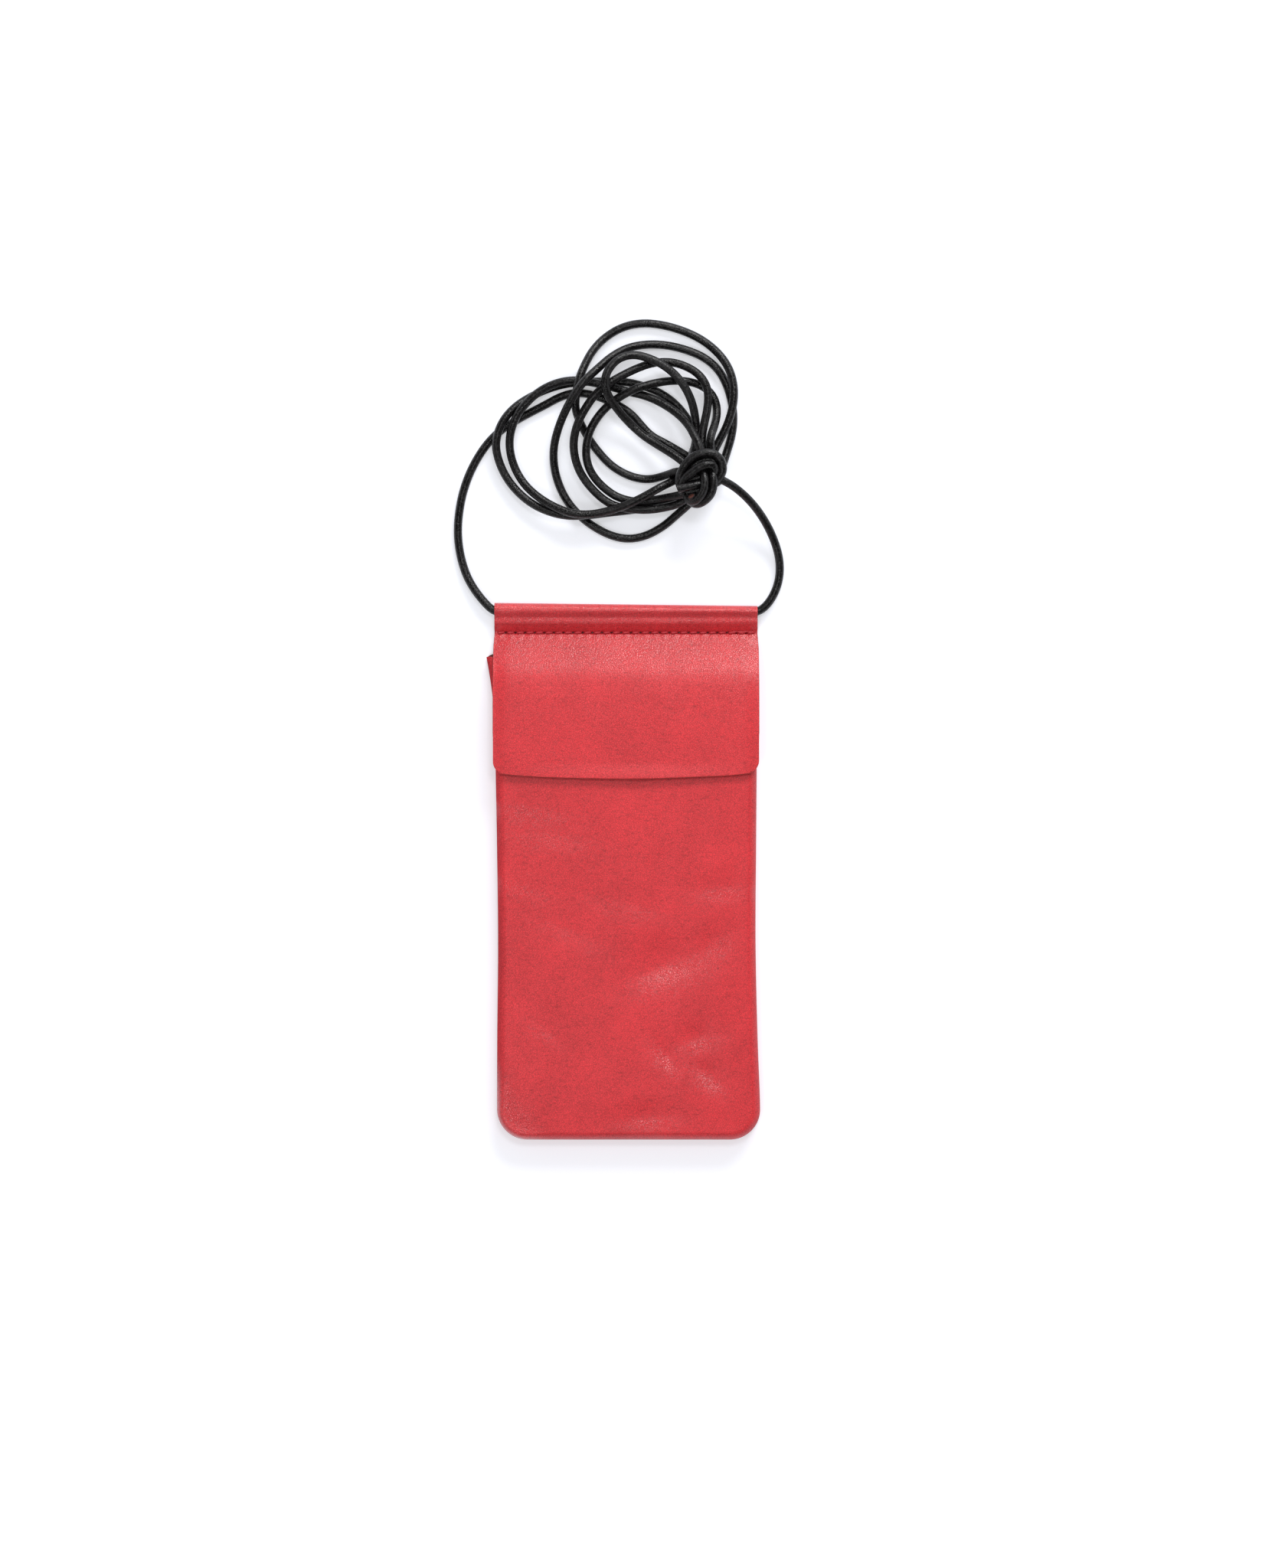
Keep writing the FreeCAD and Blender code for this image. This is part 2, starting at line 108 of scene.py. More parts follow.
def through(points, places, fine=3000):
    """A smooth line through the points at the given shares of its length: cubic Hermite pieces over the
    chord length, with the slope between the neighbours as tangent, respaced by their own length."""
    p = np.asarray(points, float)
    t = np.concatenate([[0.0], np.cumsum(np.linalg.norm(np.diff(p, axis=0), axis=1))])
    slope = np.gradient(p, t, axis=0)
    s = np.linspace(0.0, t[-1], fine)
    k = np.clip(np.searchsorted(t, s, side="right") - 1, 0, len(t) - 2)
    span = (t[k + 1] - t[k])[:, None]
    q = (s - t[k])[:, None] / span
    line = (1 + 2 * q) * (1 - q) ** 2 * p[k] + q * (1 - q) ** 2 * span * slope[k]
    line += q * q * (3 - 2 * q) * p[k + 1] + q * q * (q - 1) * span * slope[k + 1]
    far = np.concatenate([[0.0], np.cumsum(np.linalg.norm(np.diff(line, axis=0), axis=1))])
    want = np.asarray(places) * far[-1]
    return np.stack([np.interp(want, far, line[:, i]) for i in range(p.shape[1])], axis=1)


def spaced(low, high, step, close_at=(), close_step=0.3, close_reach=1.5):
    """Places from low to high about a step apart, and closer around the places in close_at: the
    inverse of the summed density."""
    samples = 6000
    fine = np.linspace(low, high, samples)
    density = np.full_like(fine, 1.0 / step)
    for place in close_at:
        near = np.exp(-((fine - place) / close_reach) ** 4)
        density = np.maximum(density, 1.0 / step + (1.0 / close_step - 1.0 / step) * near)
    total = np.concatenate([[0.0], np.cumsum((density[1:] + density[:-1]) / 2 * np.diff(fine))])
    return np.interp(np.linspace(0.0, total[-1], int(total[-1]) + 2), total, fine)


def grid_quads(rows, columns, first, flip):
    """The quads of a grid of points that are numbered row by row from first."""
    n = first + np.arange(rows * columns).reshape(rows, columns)
    quads = np.stack([n[:-1, :-1], n[:-1, 1:], n[1:, 1:], n[1:, :-1]], axis=-1).reshape(-1, 4)
    return quads[:, ::-1] if flip else quads


def grid_normals(points):
    """The unit normals of a grid of points, from the cross product of its two slopes."""
    across = np.gradient(points, axis=1)
    onward = np.gradient(points, axis=0)
    normal = np.cross(across, onward)
    return normal / np.maximum(np.linalg.norm(normal, axis=-1, keepdims=True), 1e-12)


def add_piece(name, points, quads, material, marks):
    """A smooth mesh object of points in millimetres and quads, with a value per point for each mark."""
    mesh = bpy.data.meshes.new(name)
    mesh.from_pydata((np.asarray(points).reshape(-1, 3) * MM).tolist(), [], np.asarray(quads).tolist())
    mesh.polygons.foreach_set("use_smooth", np.ones(len(mesh.polygons), bool))
    for mark, values in marks.items():
        layer = mesh.attributes.new(mark, "FLOAT", "POINT")
        layer.data.foreach_set("value", np.asarray(values, np.float32).ravel())
    mesh.materials.append(material)
    mesh.update()
    piece = bpy.data.objects.new(name, mesh)
    bpy.context.scene.collection.objects.link(piece)
    return piece


def leather_sheet(name, face, under, edges, material, marks):
    """A sheet of leather with a good face, an under face and a closed edge. Round the edge, each ring
    is a point of half an ellipse from the face to the under face. edges gives, for the first row, last
    column, last row and first column, how far that edge bulges: a number for a cut edge, along the
    sheet, or a vector for a turned one. marks gives values over the face."""
    rows, columns = face.shape[:2]
    n = np.arange(rows * columns).reshape(rows, columns)
    sides = [n[0, :-1], n[:-1, -1], n[-1, :0:-1], n[:0:-1, 0]]
    inner = [n[1, :-1], n[:-1, -2], n[-2, :0:-1], n[:0:-1, 1]]
    flat_face, flat_under = face.reshape(-1, 3), under.reshape(-1, 3)
    bulge, cut = [], []
    for side, inside, edge in zip(sides, inner, edges):
        if np.ndim(edge) == 0:
            away = flat_face[side] - flat_face[inside]
            away = away / np.maximum(np.linalg.norm(away, axis=1, keepdims=True), 1e-9)
            bulge.append(away * edge)
            cut.append(np.ones(len(side)))
        else:
            bulge.append(np.broadcast_to(np.asarray(edge, float), (len(side), 3)))
            cut.append(np.zeros(len(side)))
    loop = np.concatenate(sides)
    bulge, cut = np.concatenate(bulge), np.concatenate(cut)
    middle = (flat_face[loop] + flat_under[loop]) / 2
    half = (flat_face[loop] - flat_under[loop]) / 2
    ring_steps = 6
    angles = math.pi * np.arange(1, ring_steps) / ring_steps
    rings = [middle + half * math.cos(a) + bulge * math.sin(a) for a in angles]
    count = rows * columns
    rim = [loop] + [2 * count + i * len(loop) + np.arange(len(loop)) for i in range(len(rings))]
    rim.append(count + loop)
    quads = [grid_quads(rows, columns, 0, False), grid_quads(rows, columns, count, True)]
    for a, b in zip(rim, rim[1:]):
        quads.append(np.stack([a, b, np.roll(b, -1), np.roll(a, -1)], axis=1))
    points = np.concatenate([flat_face, flat_under] + rings)
    inside = np.concatenate([np.zeros(count), np.ones(count)] + [np.zeros(len(loop))] * len(rings))
    raw = np.concatenate([np.zeros(2 * count)] + [cut] * len(rings))
    spread = {"inside": inside, "cut": raw}
    for mark, values in marks.items():
        flat = np.broadcast_to(values, (rows, columns)).ravel()
        spread[mark] = np.concatenate([flat, np.zeros(count)] + [flat[loop]] * len(rings))
    return add_piece(name, points, np.concatenate(quads), material, spread)


# Node helpers

def wire(tree, node, inputs):
    """Sets a node's inputs to values, or links them to sockets."""
    for key, value in inputs.items():
        if isinstance(value, bpy.types.NodeSocket):
            tree.links.new(value, node.inputs[key])
        else:
            node.inputs[key].default_value = value


def add_node(tree, kind, inputs=None, **settings):
    """A new node with its settings and its inputs."""
    made = tree.nodes.new(kind)
    for key, value in settings.items():
        setattr(made, key, value)
    wire(tree, made, inputs or {})
    return made


def calc(tree, operation, a, b=0.0, c=0.0):
    """The result of one Math node."""
    return add_node(tree, "ShaderNodeMath", {0: a, 1: b, 2: c}, operation=operation).outputs[0]


def summed(tree, start, shares):
    """A start value plus each value times its share."""
    total = start
    for value, share in shares:
        total = calc(tree, "MULTIPLY_ADD", value, share, total)
    return total


def vector_calc(tree, operation, a, b):
    """The result of one Vector Math node."""
    return add_node(tree, "ShaderNodeVectorMath", {0: a, 1: b}, operation=operation).outputs[0]


def ramp(tree, value, low, high, to_low=0.0, to_high=1.0):
    """A value from low to high carried smoothly to the range from to_low to to_high."""
    inputs = {"Value": value, "From Min": low, "From Max": high, "To Min": to_low, "To Max": to_high}
    return add_node(tree, "ShaderNodeMapRange", inputs, interpolation_type="SMOOTHSTEP").outputs["Result"]


def tint(tree, factor, a, b, blend="MIX"):
    """One colour mixed into another."""
    made = add_node(tree, "ShaderNodeMix", {0: factor, 6: a, 7: b}, data_type="RGBA", blend_type=blend)
    return made.outputs[2]


def object_place(tree):
    """The place on the piece, in metres of the shared frame."""
    return tree.nodes.new("ShaderNodeTexCoord").outputs["Object"]


def noise(tree, place, scale, detail, **more):
    """A noise pattern from 0 to 1."""
    inputs = {"Vector": place, "Scale": scale, "Detail": detail, **more}
    return add_node(tree, "ShaderNodeTexNoise", inputs).outputs["Fac"]


def surface_mark(tree, name):
    """A mark from 0 to 1 that the mesh carries at its points."""
    return add_node(tree, "ShaderNodeAttribute", attribute_name=name).outputs["Fac"]


def bumped(tree, height, strength, distance):
    """The normal of a bump of the given height."""
    inputs = {"Strength": strength, "Distance": distance, "Height": height}
    return add_node(tree, "ShaderNodeBump", inputs).outputs["Normal"]


def new_group(name, inputs, outputs):
    """An empty shader node group with named sockets; its tree, input node and output node."""
    tree = bpy.data.node_groups.new(name, "ShaderNodeTree")
    for label, kind, value in inputs:
        made = tree.interface.new_socket(label, in_out="INPUT", socket_type=kind)
        made.default_value = value
    for label, kind in outputs:
        tree.interface.new_socket(label, in_out="OUTPUT", socket_type=kind)
    return tree, tree.nodes.new("NodeGroupInput"), tree.nodes.new("NodeGroupOutput")


def new_material(name):
    """A node material: its tree and its Principled shader."""
    made = bpy.data.materials.new(name)
    made.use_nodes = True
    return made, made.node_tree, made.node_tree.nodes["Principled BSDF"]


# Materials

def leather_group():
    """Soft pebbled leather: rounded cells with fine creases between them, short slanting strokes, fibres,
    uneven dye and a few pores, as a colour, a roughness and a height."""
    tree, given, result = new_group(
        "leather grain",
        [("Colour", "NodeSocketColor", (0.6, 0.03, 0.04, 1)), ("Grain per metre", "NodeSocketFloat", 1000.0)],
        [("Colour", "NodeSocketColor"), ("Roughness", "NodeSocketFloat"), ("Height", "NodeSocketFloat")],
    )
    place = object_place(tree)
    stir = add_node(tree, "ShaderNodeTexNoise", {"Vector": place, "Scale": 420.0, "Detail": 2.0})
    shift = vector_calc(tree, "SUBTRACT", stir.outputs["Color"], (0.5, 0.5, 0.5))
    shift = vector_calc(tree, "MULTIPLY", shift, (0.0012, 0.0012, 0.0012))
    warped = vector_calc(tree, "ADD", place, shift)
    cells = {"Vector": warped, "Scale": given.outputs["Grain per metre"]}
    crease = add_node(tree, "ShaderNodeTexVoronoi", cells, feature="DISTANCE_TO_EDGE").outputs["Distance"]
    crease = ramp(tree, crease, 0.0, 0.2, 1.0, 0.0)
    soft_cells = {"Smoothness": 0.7, **cells}
    pebble = add_node(tree, "ShaderNodeTexVoronoi", soft_cells, feature="SMOOTH_F1").outputs["Distance"]
    slant = add_node(tree, "ShaderNodeMapping", {"Vector": warped, "Rotation": (0.0, 0.0, 0.6),
                                                 "Scale": (420.0, 1500.0, 900.0)}).outputs[0]
    stroke = ramp(tree, noise(tree, slant, 1.0, 2.0), 0.52, 0.72)
    fibre = noise(tree, place, 1500.0, 3.0, Distortion=1.2)
    fine = noise(tree, place, 4200.0, 2.0)
    cloud = noise(tree, place, 60.0, 5.0, Roughness=0.6)
    worn = noise(tree, place, 95.0, 3.0, Roughness=0.55)
    spots = add_node(tree, "ShaderNodeTexVoronoi", {"Vector": warped, "Scale": 150.0})
    spot = ramp(tree, spots.outputs["Distance"], 0.03, 0.09, 1.0, 0.0)
    rare = add_node(tree, "ShaderNodeSeparateColor", {"Color": spots.outputs["Color"]}).outputs[0]
    pore = calc(tree, "MULTIPLY", spot, calc(tree, "GREATER_THAN", rare, 0.94))
    uneven, fibrous, rubbed = [calc(tree, "SUBTRACT", value, 0.5) for value in (cloud, fibre, worn)]
    darker = [(crease, -0.32), (stroke, -0.14), (pore, -0.4)]
    shade = summed(tree, 1.13, [(uneven, 0.45), (fibrous, 0.85)] + darker)
    grey = add_node(tree, "ShaderNodeCombineColor", {0: shade, 1: shade, 2: shade}).outputs[0]
    colour = tint(tree, 1.0, given.outputs["Colour"], grey, "MULTIPLY")
    rough = summed(tree, 0.37, [(rubbed, 0.24), (crease, 0.12)])
    height = summed(tree, 0.0, [(crease, -0.55), (pebble, -0.7), (fibre, 0.5), (stroke, -0.15), (fine, 0.2)])
    wire(tree, result, {"Colour": colour, "Roughness": rough, "Height": height})
    return tree


def leather_material(group):
    """Red leather: the grain on the good face, glossier and crackled where it is bent, dull on the turned
    sides, with flesh on the inside, a brownish raw edge where it is cut, and painted shade where the mark
    hollow is: in the needle holes, along the thread groove, on the pocket's left edge beside the flap, and
    on the front of the tunnel and the flap's upper slope."""
    made, tree, shader = new_material("red leather")
    grain = add_node(tree, "ShaderNodeGroup", {"Colour": (0.655, 0.031, 0.04, 1), "Grain per metre": 1550.0},
                     node_tree=group)
    names = ("inside", "cut", "hollow", "bent", "side")
    inside, cut, hollow, bent, side = [surface_mark(tree, name) for name in names]
    nap = noise(tree, object_place(tree), 1800.0, 4.0)
    flesh = tint(tree, nap, (0.30, 0.05, 0.045, 1), (0.46, 0.11, 0.09, 1))
    raw = tint(tree, nap, (0.20, 0.035, 0.025, 1), (0.36, 0.10, 0.07, 1))
    colour = tint(tree, inside, grain.outputs["Colour"], flesh)
    colour = tint(tree, cut, colour, raw)
    # Painted shade: a near black mixed into the colour by the mark hollow, in holes, in the groove and on
    # places that face away from the light.
    colour = tint(tree, calc(tree, "MULTIPLY", hollow, 0.9), colour, (0.05, 0.004, 0.006, 1))
    rough = summed(tree, grain.outputs["Roughness"], [(bent, -0.1), (side, 0.55)])
    for bare, least in ((inside, 0.85), (cut, 0.8)):
        rough = calc(tree, "MAXIMUM", rough, calc(tree, "MULTIPLY", bare, least))
    crackle = summed(tree, 0.25, [(bent, 0.2)])
    normal = bumped(tree, grain.outputs["Height"], crackle, 0.0002)
    wire(tree, shader, {"Base Color": colour, "Roughness": rough, "Normal": normal, "Coat Weight": bent,
                        "Coat Normal": normal, "Coat Roughness": 0.21, "Specular IOR Level": 0.4})
    return made


def thread_material():
    """Red sewing thread: fine fibres in a dyed yarn, a little deeper than the leather."""
    made, tree, shader = new_material("red thread")
    fibre = noise(tree, object_place(tree), 3500.0, 3.0, Distortion=0.8)
    colour = tint(tree, fibre, (0.34, 0.012, 0.02, 1), (0.66, 0.04, 0.055, 1))
    rough = ramp(tree, fibre, 0.3, 0.7, 0.5, 0.75)
    wire(tree, shader, {"Base Color": colour, "Roughness": rough, "Normal": bumped(tree, fibre, 0.6, 0.0001)})
    return made


def cord_material():
    """Black round leather cord: satin dye with fine light specks where the grain is rubbed."""
    made, tree, shader = new_material("black cord")
    place = object_place(tree)
    speck = noise(tree, place, 1900.0, 3.0)
    rub = noise(tree, place, 160.0, 3.0)
    grain = add_node(tree, "ShaderNodeTexVoronoi", {"Vector": place, "Scale": 1500.0}).outputs["Distance"]
    light = calc(tree, "MULTIPLY", ramp(tree, speck, 0.5, 0.7), ramp(tree, rub, 0.35, 0.7, 0.3, 1.0))
    colour = tint(tree, light, (0.0015, 0.0012, 0.0014, 1), (0.03, 0.026, 0.029, 1))
    rough = summed(tree, 0.12, [(rub, 0.22), (speck, 0.15)])
    normal = bumped(tree, summed(tree, speck, [(grain, -0.7)]), 0.4, 0.0003)
    wire(tree, shader, {"Base Color": colour, "Roughness": rough, "Normal": normal,
                        "Specular IOR Level": 0.39})
    return made


def core_material():
    """The undyed brown heart of the cord where it is cut, with the black dye round its rim."""
    made, tree, shader = new_material("cord core")
    fibre = noise(tree, object_place(tree), 2600.0, 4.0)
    colour = tint(tree, fibre, (0.05, 0.014, 0.01, 1), (0.16, 0.045, 0.03, 1))
    dyed = ramp(tree, surface_mark(tree, "rim"), 0.55, 0.85)
    colour = tint(tree, dyed, colour, (0.012, 0.01, 0.011, 1))
    wire(tree, shader, {"Base Color": colour, "Roughness": 0.8, "Normal": bumped(tree, fibre, 0.6, 0.0002)})
    return made


RED_LEATHER = leather_material(leather_group())
RED_THREAD = thread_material()
BLACK_CORD = cord_material()
CORD_CORE = core_material()


# Camera, lights and floor

WHITE = (1, 1, 1, 1)


def add_camera():
    """A camera straight above the middle of the photographed frame, which is 453 by 563 mm."""
    sensor = 36.0
    height, plane, tall = 1.5, 0.008, 0.5632
    lens = bpy.data.cameras.new("camera")
    lens.sensor_width = sensor
    lens.lens = sensor * (height - plane) / tall
    camera = bpy.data.objects.new("camera", lens)
    camera.location = (0.0018, 0.0316, height)
    bpy.context.scene.collection.objects.link(camera)
    bpy.context.scene.camera = camera


def add_softbox(name, place, aim, wide, deep, watts):
    """A rectangular area light at place, turned towards aim."""
    lamp = bpy.data.lights.new(name, "AREA")
    lamp.shape = "RECTANGLE"
    lamp.size, lamp.size_y = wide, deep
    lamp.energy = watts
    box = bpy.data.objects.new(name, lamp)
    box.location = place
    box.rotation_euler = (Vector(aim) - Vector(place)).to_track_quat("-Z", "Y").to_euler()
    bpy.context.scene.collection.objects.link(box)


def background_rays(tree):
    """1 for rays straight from the camera, and 1 for all rays that show the background: those, and
    reflections and glass."""
    path = tree.nodes.new("ShaderNodeLightPath")
    straight = path.outputs["Is Camera Ray"]
    seen = calc(tree, "MAXIMUM", straight, path.outputs["Is Glossy Ray"])
    return straight, calc(tree, "MAXIMUM", seen, path.outputs["Is Transmission Ray"])


def add_floor():
    """A wide pale floor, lit as the part is, with a little light of its own for the camera and for
    reflections, so that it shows white and keeps the shadow."""
    glow, half = 0.4, 3
    made, tree, shader = new_material("pale floor")
    seen = background_rays(tree)[1]
    wire(tree, shader, {"Base Color": (0.7, 0.72, 0.79, 1), "Roughness": 0.9, "Specular IOR Level": 0.0,
                        "Emission Color": WHITE, "Emission Strength": calc(tree, "MULTIPLY", seen, glow)})
    mesh = bpy.data.meshes.new("floor")
    corners = [(-half, -half, 0), (half, -half, 0), (half, half, 0), (-half, half, 0)]
    mesh.from_pydata(corners, [], [(0, 1, 2, 3)])
    mesh.materials.append(made)
    floor = bpy.data.objects.new("floor", mesh)
    bpy.context.scene.collection.objects.link(floor)


def add_world():
    """A white surround: full white to the camera, white in reflections up to a dimmer ceiling, and an
    even soft share of it as light."""
    soft_light, ceiling = 0.48, 0.08
    world = bpy.data.worlds.new("studio")
    world.use_nodes = True
    tree = world.node_tree
    straight, seen = background_rays(tree)
    heading = tree.nodes.new("ShaderNodeTexCoord").outputs["Generated"]
    upward = add_node(tree, "ShaderNodeSeparateXYZ", {0: heading}).outputs["Z"]
    dome = ramp(tree, upward, 0.1, 0.65, 1.0, ceiling)
    shown = calc(tree, "SUBTRACT", calc(tree, "MAXIMUM", dome, straight), soft_light)
    light = calc(tree, "MULTIPLY_ADD", seen, shown, soft_light)
    wire(tree, tree.nodes["Background"], {"Color": WHITE, "Strength": light})
    bpy.context.scene.world = world


add_camera()
add_world()
add_floor()
add_softbox("far softbox", (0.45, 1.45, 0.98), (0.0, 0.03, 0.0), 0.9, 0.5, 18.0)
add_softbox("high softbox", (0.17, 0.52, 1.4), (0.0, 0.0, 0.0), 0.32, 0.24, 3.6)
add_softbox("near softbox", (-0.36, -0.4, 1.4), (0.0, 0.0, 0.0), 0.27, 0.22, 2.8)
bpy.context.scene.view_settings.view_transform = "Standard"


# Neck cord

# Points of the cord's line. The left run and the turns of the pile are x, y and layer, as laid() says,
# and go on from one list to the next; the right run is x, y and z.
LEFT_RUN = [
    (-45.2, 93.3, 0.42), (-47.6, 93.9, 0.42), (-50.4, 96.3, 0.47), (-54.4, 101.2, 0.3),
    (-57.4, 106.4, 0.15), (-59.4, 112.4, 0.05), (-60.5, 118.6, 0), (-60.7, 124.8, 0), (-60, 131.2, 0),
    (-58.7, 137.4, 0), (-56.4, 143.8, 0), (-53.4, 149.6, 0), (-49.6, 155, 0), (-45, 159.4, 0),
    (-40, 162.6, 0), (-34.5, 165.6, 0), (-29, 168.4, 0), (-24, 171.2, 0), (-18.8, 172.8, 0),
    (-13, 172.3, 0), (-8, 170.6, 0), (-2.6, 168.2, 0), (2.2, 164.9, 0), (5.6, 160.8, 0), (9.2, 157, 0),
    (14.4, 154.4, 0), (19.6, 151.4, 0),
]
RIGHT_RUN = [
    (45.2, 93.3, 2.85), (47.4, 93.6, 2.85), (50.4, 95.6, 2.9), (53.2, 99.6, 2.7), (55.0, 104.4, 2.4),
    (55.6, 109.6, 2.4), (54.8, 115.2, 3.2), (52.6, 121.2, 5.0), (49.4, 127.0, 7.4), (45.4, 132.2, 10.4),
    (40.6, 136.6, 13.4), (35.6, 139.8, 15.6), (30.6, 141.8, 16.4),
]
TURNS = [
    [(24.6, 148.2, 0), (29.6, 144.8, 0), (31.4, 139.4, 0), (27.4, 134.8, 0), (18, 133, 0),
     (10, 131.6, 0), (2, 130.4, 0), (-6, 129.4, 0.5), (-13, 128.4, 1), (-20, 127.9, 1),
     (-27, 129.2, 1), (-34, 132.4, 0.8), (-40.2, 137.8, 0.6), (-44.6, 144.4, 0.6), (-46.9, 151.6, 0.8),
     (-46.6, 156.8, 1), (-44.4, 162.4, 1), (-40.4, 167.2, 0.6), (-35.4, 170.8, 0), (-29, 173.9, 0),
     (-22, 176, 0), (-14.6, 176.7, 0), (-7, 176.9, 0), (0.4, 176.7, 0), (7.4, 174.9, 0),
     (13.4, 172.2, 0), (18, 168.6, 0), (21.4, 164.6, 0), (24, 160.2, 0), (25.8, 155, 0.2)],
    [(26.6, 149.6, 1), (23.2, 144.6, 0.9), (19.9, 142.2, 0.9), (17, 140.6, 1), (12.4, 138.2, 2.2),
     (6.6, 134.8, 2.2), (0.2, 131.7, 2.2), (-6, 129.7, 2), (-12.6, 128.3, 2), (-19.4, 128.6, 2),
     (-26, 131.2, 1.6), (-32, 135, 1.2), (-36.8, 139.6, 0.8), (-40.2, 145.4, 0.6), (-41.9, 151.4, 0.8),
     (-41.9, 156.8, 1), (-40.4, 162.2, 1.1), (-37.4, 167.2, 1.1), (-32.4, 172.2, 1.1),
     (-26.4, 175.6, 1.1), (-19.6, 177.1, 1.1), (-12.6, 176.3, 1.1), (-6, 174.8, 1), (0.4, 173, 0.5),
     (7, 171.6, 0.4), (13, 168.8, 0.8), (18.6, 164.9, 1.3), (22.4, 160.6, 2.2), (24.6, 156.2, 3.2)],
    [(26.4, 152.2, 3.5), (26.9, 148.8, 3.5), (25.2, 144.4, 3.4), (21.9, 143.1, 2.8),
     (18.4, 144.1, 1.9), (14.2, 142.7, 0.6), (8.4, 141.3, 0), (2.8, 142.1, 0), (-2.4, 144.4, 0),
     (-6.8, 147.7, 0), (-11.2, 152.9, 0), (-14, 157, 0.3), (-16.4, 161.4, 0.9), (-18.3, 166.4, 1.6),
     (-18, 171.6, 2.1), (-17, 176.8, 2.1), (-15, 182, 1.6), (-12.2, 187.6, 0.8), (-7.6, 192.8, 0),
     (-1.2, 196.6, 0), (6, 198, 0), (13.4, 197.2, 0), (20.4, 195.2, 0), (27, 192.2, 0),
     (32.8, 187.6, 0.3), (36.9, 182, 0.7), (38.9, 175.4, 1), (38.8, 168.6, 1.1), (36.8, 161.4, 1),
     (33.8, 155.6, 1)],
    [(31.2, 150.6, 1), (29.8, 144, 1), (27.4, 137.4, 1.1), (22.8, 132.4, 0.9), (18, 128.4, 0.1),
     (13.4, 124.4, 0), (7.2, 121, 0), (0.8, 119.8, 0), (-5.8, 121.2, 0), (-12.4, 124.8, 0),
     (-17.6, 129.1, 0), (-21.6, 134, 0), (-24.5, 140, 0), (-26.1, 146.6, 0.2), (-26.1, 153.2, 0.7),
     (-24.4, 159.6, 1.4), (-21.8, 165.6, 2.2), (-18.6, 171.2, 3.1), (-14.9, 176.2, 3.1),
     (-10.2, 180.6, 2.5), (-5.4, 185.2, 1.6), (0.6, 188.8, 0.7), (7.4, 190.2, 0.2), (14.4, 190, 0),
     (21.4, 188.4, 0), (28.2, 185.6, 0), (33.4, 181.2, 0), (36.5, 175.4, 0), (38.2, 169.4, 0),
     (38.9, 163.2, 0), (38.1, 156.8, 0)],
    [(35.8, 149.6, 0), (33.8, 143.2, 1), (29.6, 138.2, 2.2), (24, 136, 2.9), (18.4, 135.2, 1.9),
     (11.4, 134, 1), (4, 133, 1), (-2.4, 134.4, 1), (-7, 137.3, 1), (-11, 141.2, 1.1),
     (-13.6, 145.6, 1.2), (-14.6, 150.8, 1.3), (-13.6, 157.4, 1.4), (-11, 162.6, 1.3),
     (-7.2, 167.2, 1.1), (-2.4, 170.9, 1.2), (2.6, 173.4, 1.6), (8.2, 175.3, 1.3), (14, 176.6, 1),
     (20, 176.9, 0.8), (25.4, 176, 0.6), (29.8, 173.6, 0.4), (32.3, 169.8, 0.4), (32.9, 165.2, 0.6),
     (31.9, 160.6, 1.5), (30.2, 156, 2.7)],
    [(30.4, 151.2, 2.6), (30.1, 146, 2.1), (27.2, 140, 1.9), (22.6, 134.8, 1.6), (18.6, 132.2, 1.3),
     (14, 131.1, 1), (8.4, 130.2, 1), (2, 130.4, 1.1), (-3.4, 131.4, 1), (-7.4, 133.4, 1),
     (-11.2, 136.6, 1.1), (-14.8, 140.8, 1.2), (-17.4, 145.4, 1.4), (-18.8, 150.8, 1.7),
     (-18.8, 156, 2), (-17.2, 161.8, 2.2), (-14.2, 167.2, 2.1), (-11.2, 171.4, 2), (-7, 175, 2.1),
     (-2.2, 178, 1.8), (3.4, 180.9, 1.4), (9.2, 183.1, 1.1), (15.2, 183.7, 1), (20.8, 182.3, 1.2),
     (25.8, 179.4, 1.5), (28.8, 175.4, 1.6), (29.7, 170.8, 1.6), (29.1, 165.6, 1.6), (28, 160.6, 1.8),
     (27.2, 155.6, 2)],
    [(27.8, 150.8, 2.1), (26.9, 147.9, 2.3), (24.5, 146, 2.4), (21.5, 146.2, 2.4), (18.9, 148.5, 2.3),
     (15, 151.2, 1.8), (10.3, 154.2, 1.2), (5.6, 157.4, 1), (0.4, 162.2, 1.2), (-4, 167.2, 2.1),
     (-7.2, 172.2, 2.9), (-7.7, 176.6, 3.1), (-6.2, 180.6, 2.9), (-2.6, 184.4, 2.6), (2.6, 185.9, 2.2),
     (8.2, 184.6, 2.1), (13.6, 182, 2.1), (18.2, 178.2, 2), (21.6, 173.6, 2), (24, 168.2, 1.7),
     (25.1, 162.4, 1.3), (25.4, 157, 1.2), (24.8, 153.2, 1.6), (23.7, 150, 2.9), (23.4, 147.8, 4)],
]
CORD_RISE = 3.3

# How much thicker the knot's strands are, so that they press together.
KNOT_SWELL = 1.04


def laid(points):
    """Places in the pile, given as x, y and layer: layer 0 is on the table, and each layer is one step up."""
    return [(x, y, CORD_DIAMETER / 2 + CORD_RISE * layer) for x, y, layer in points]


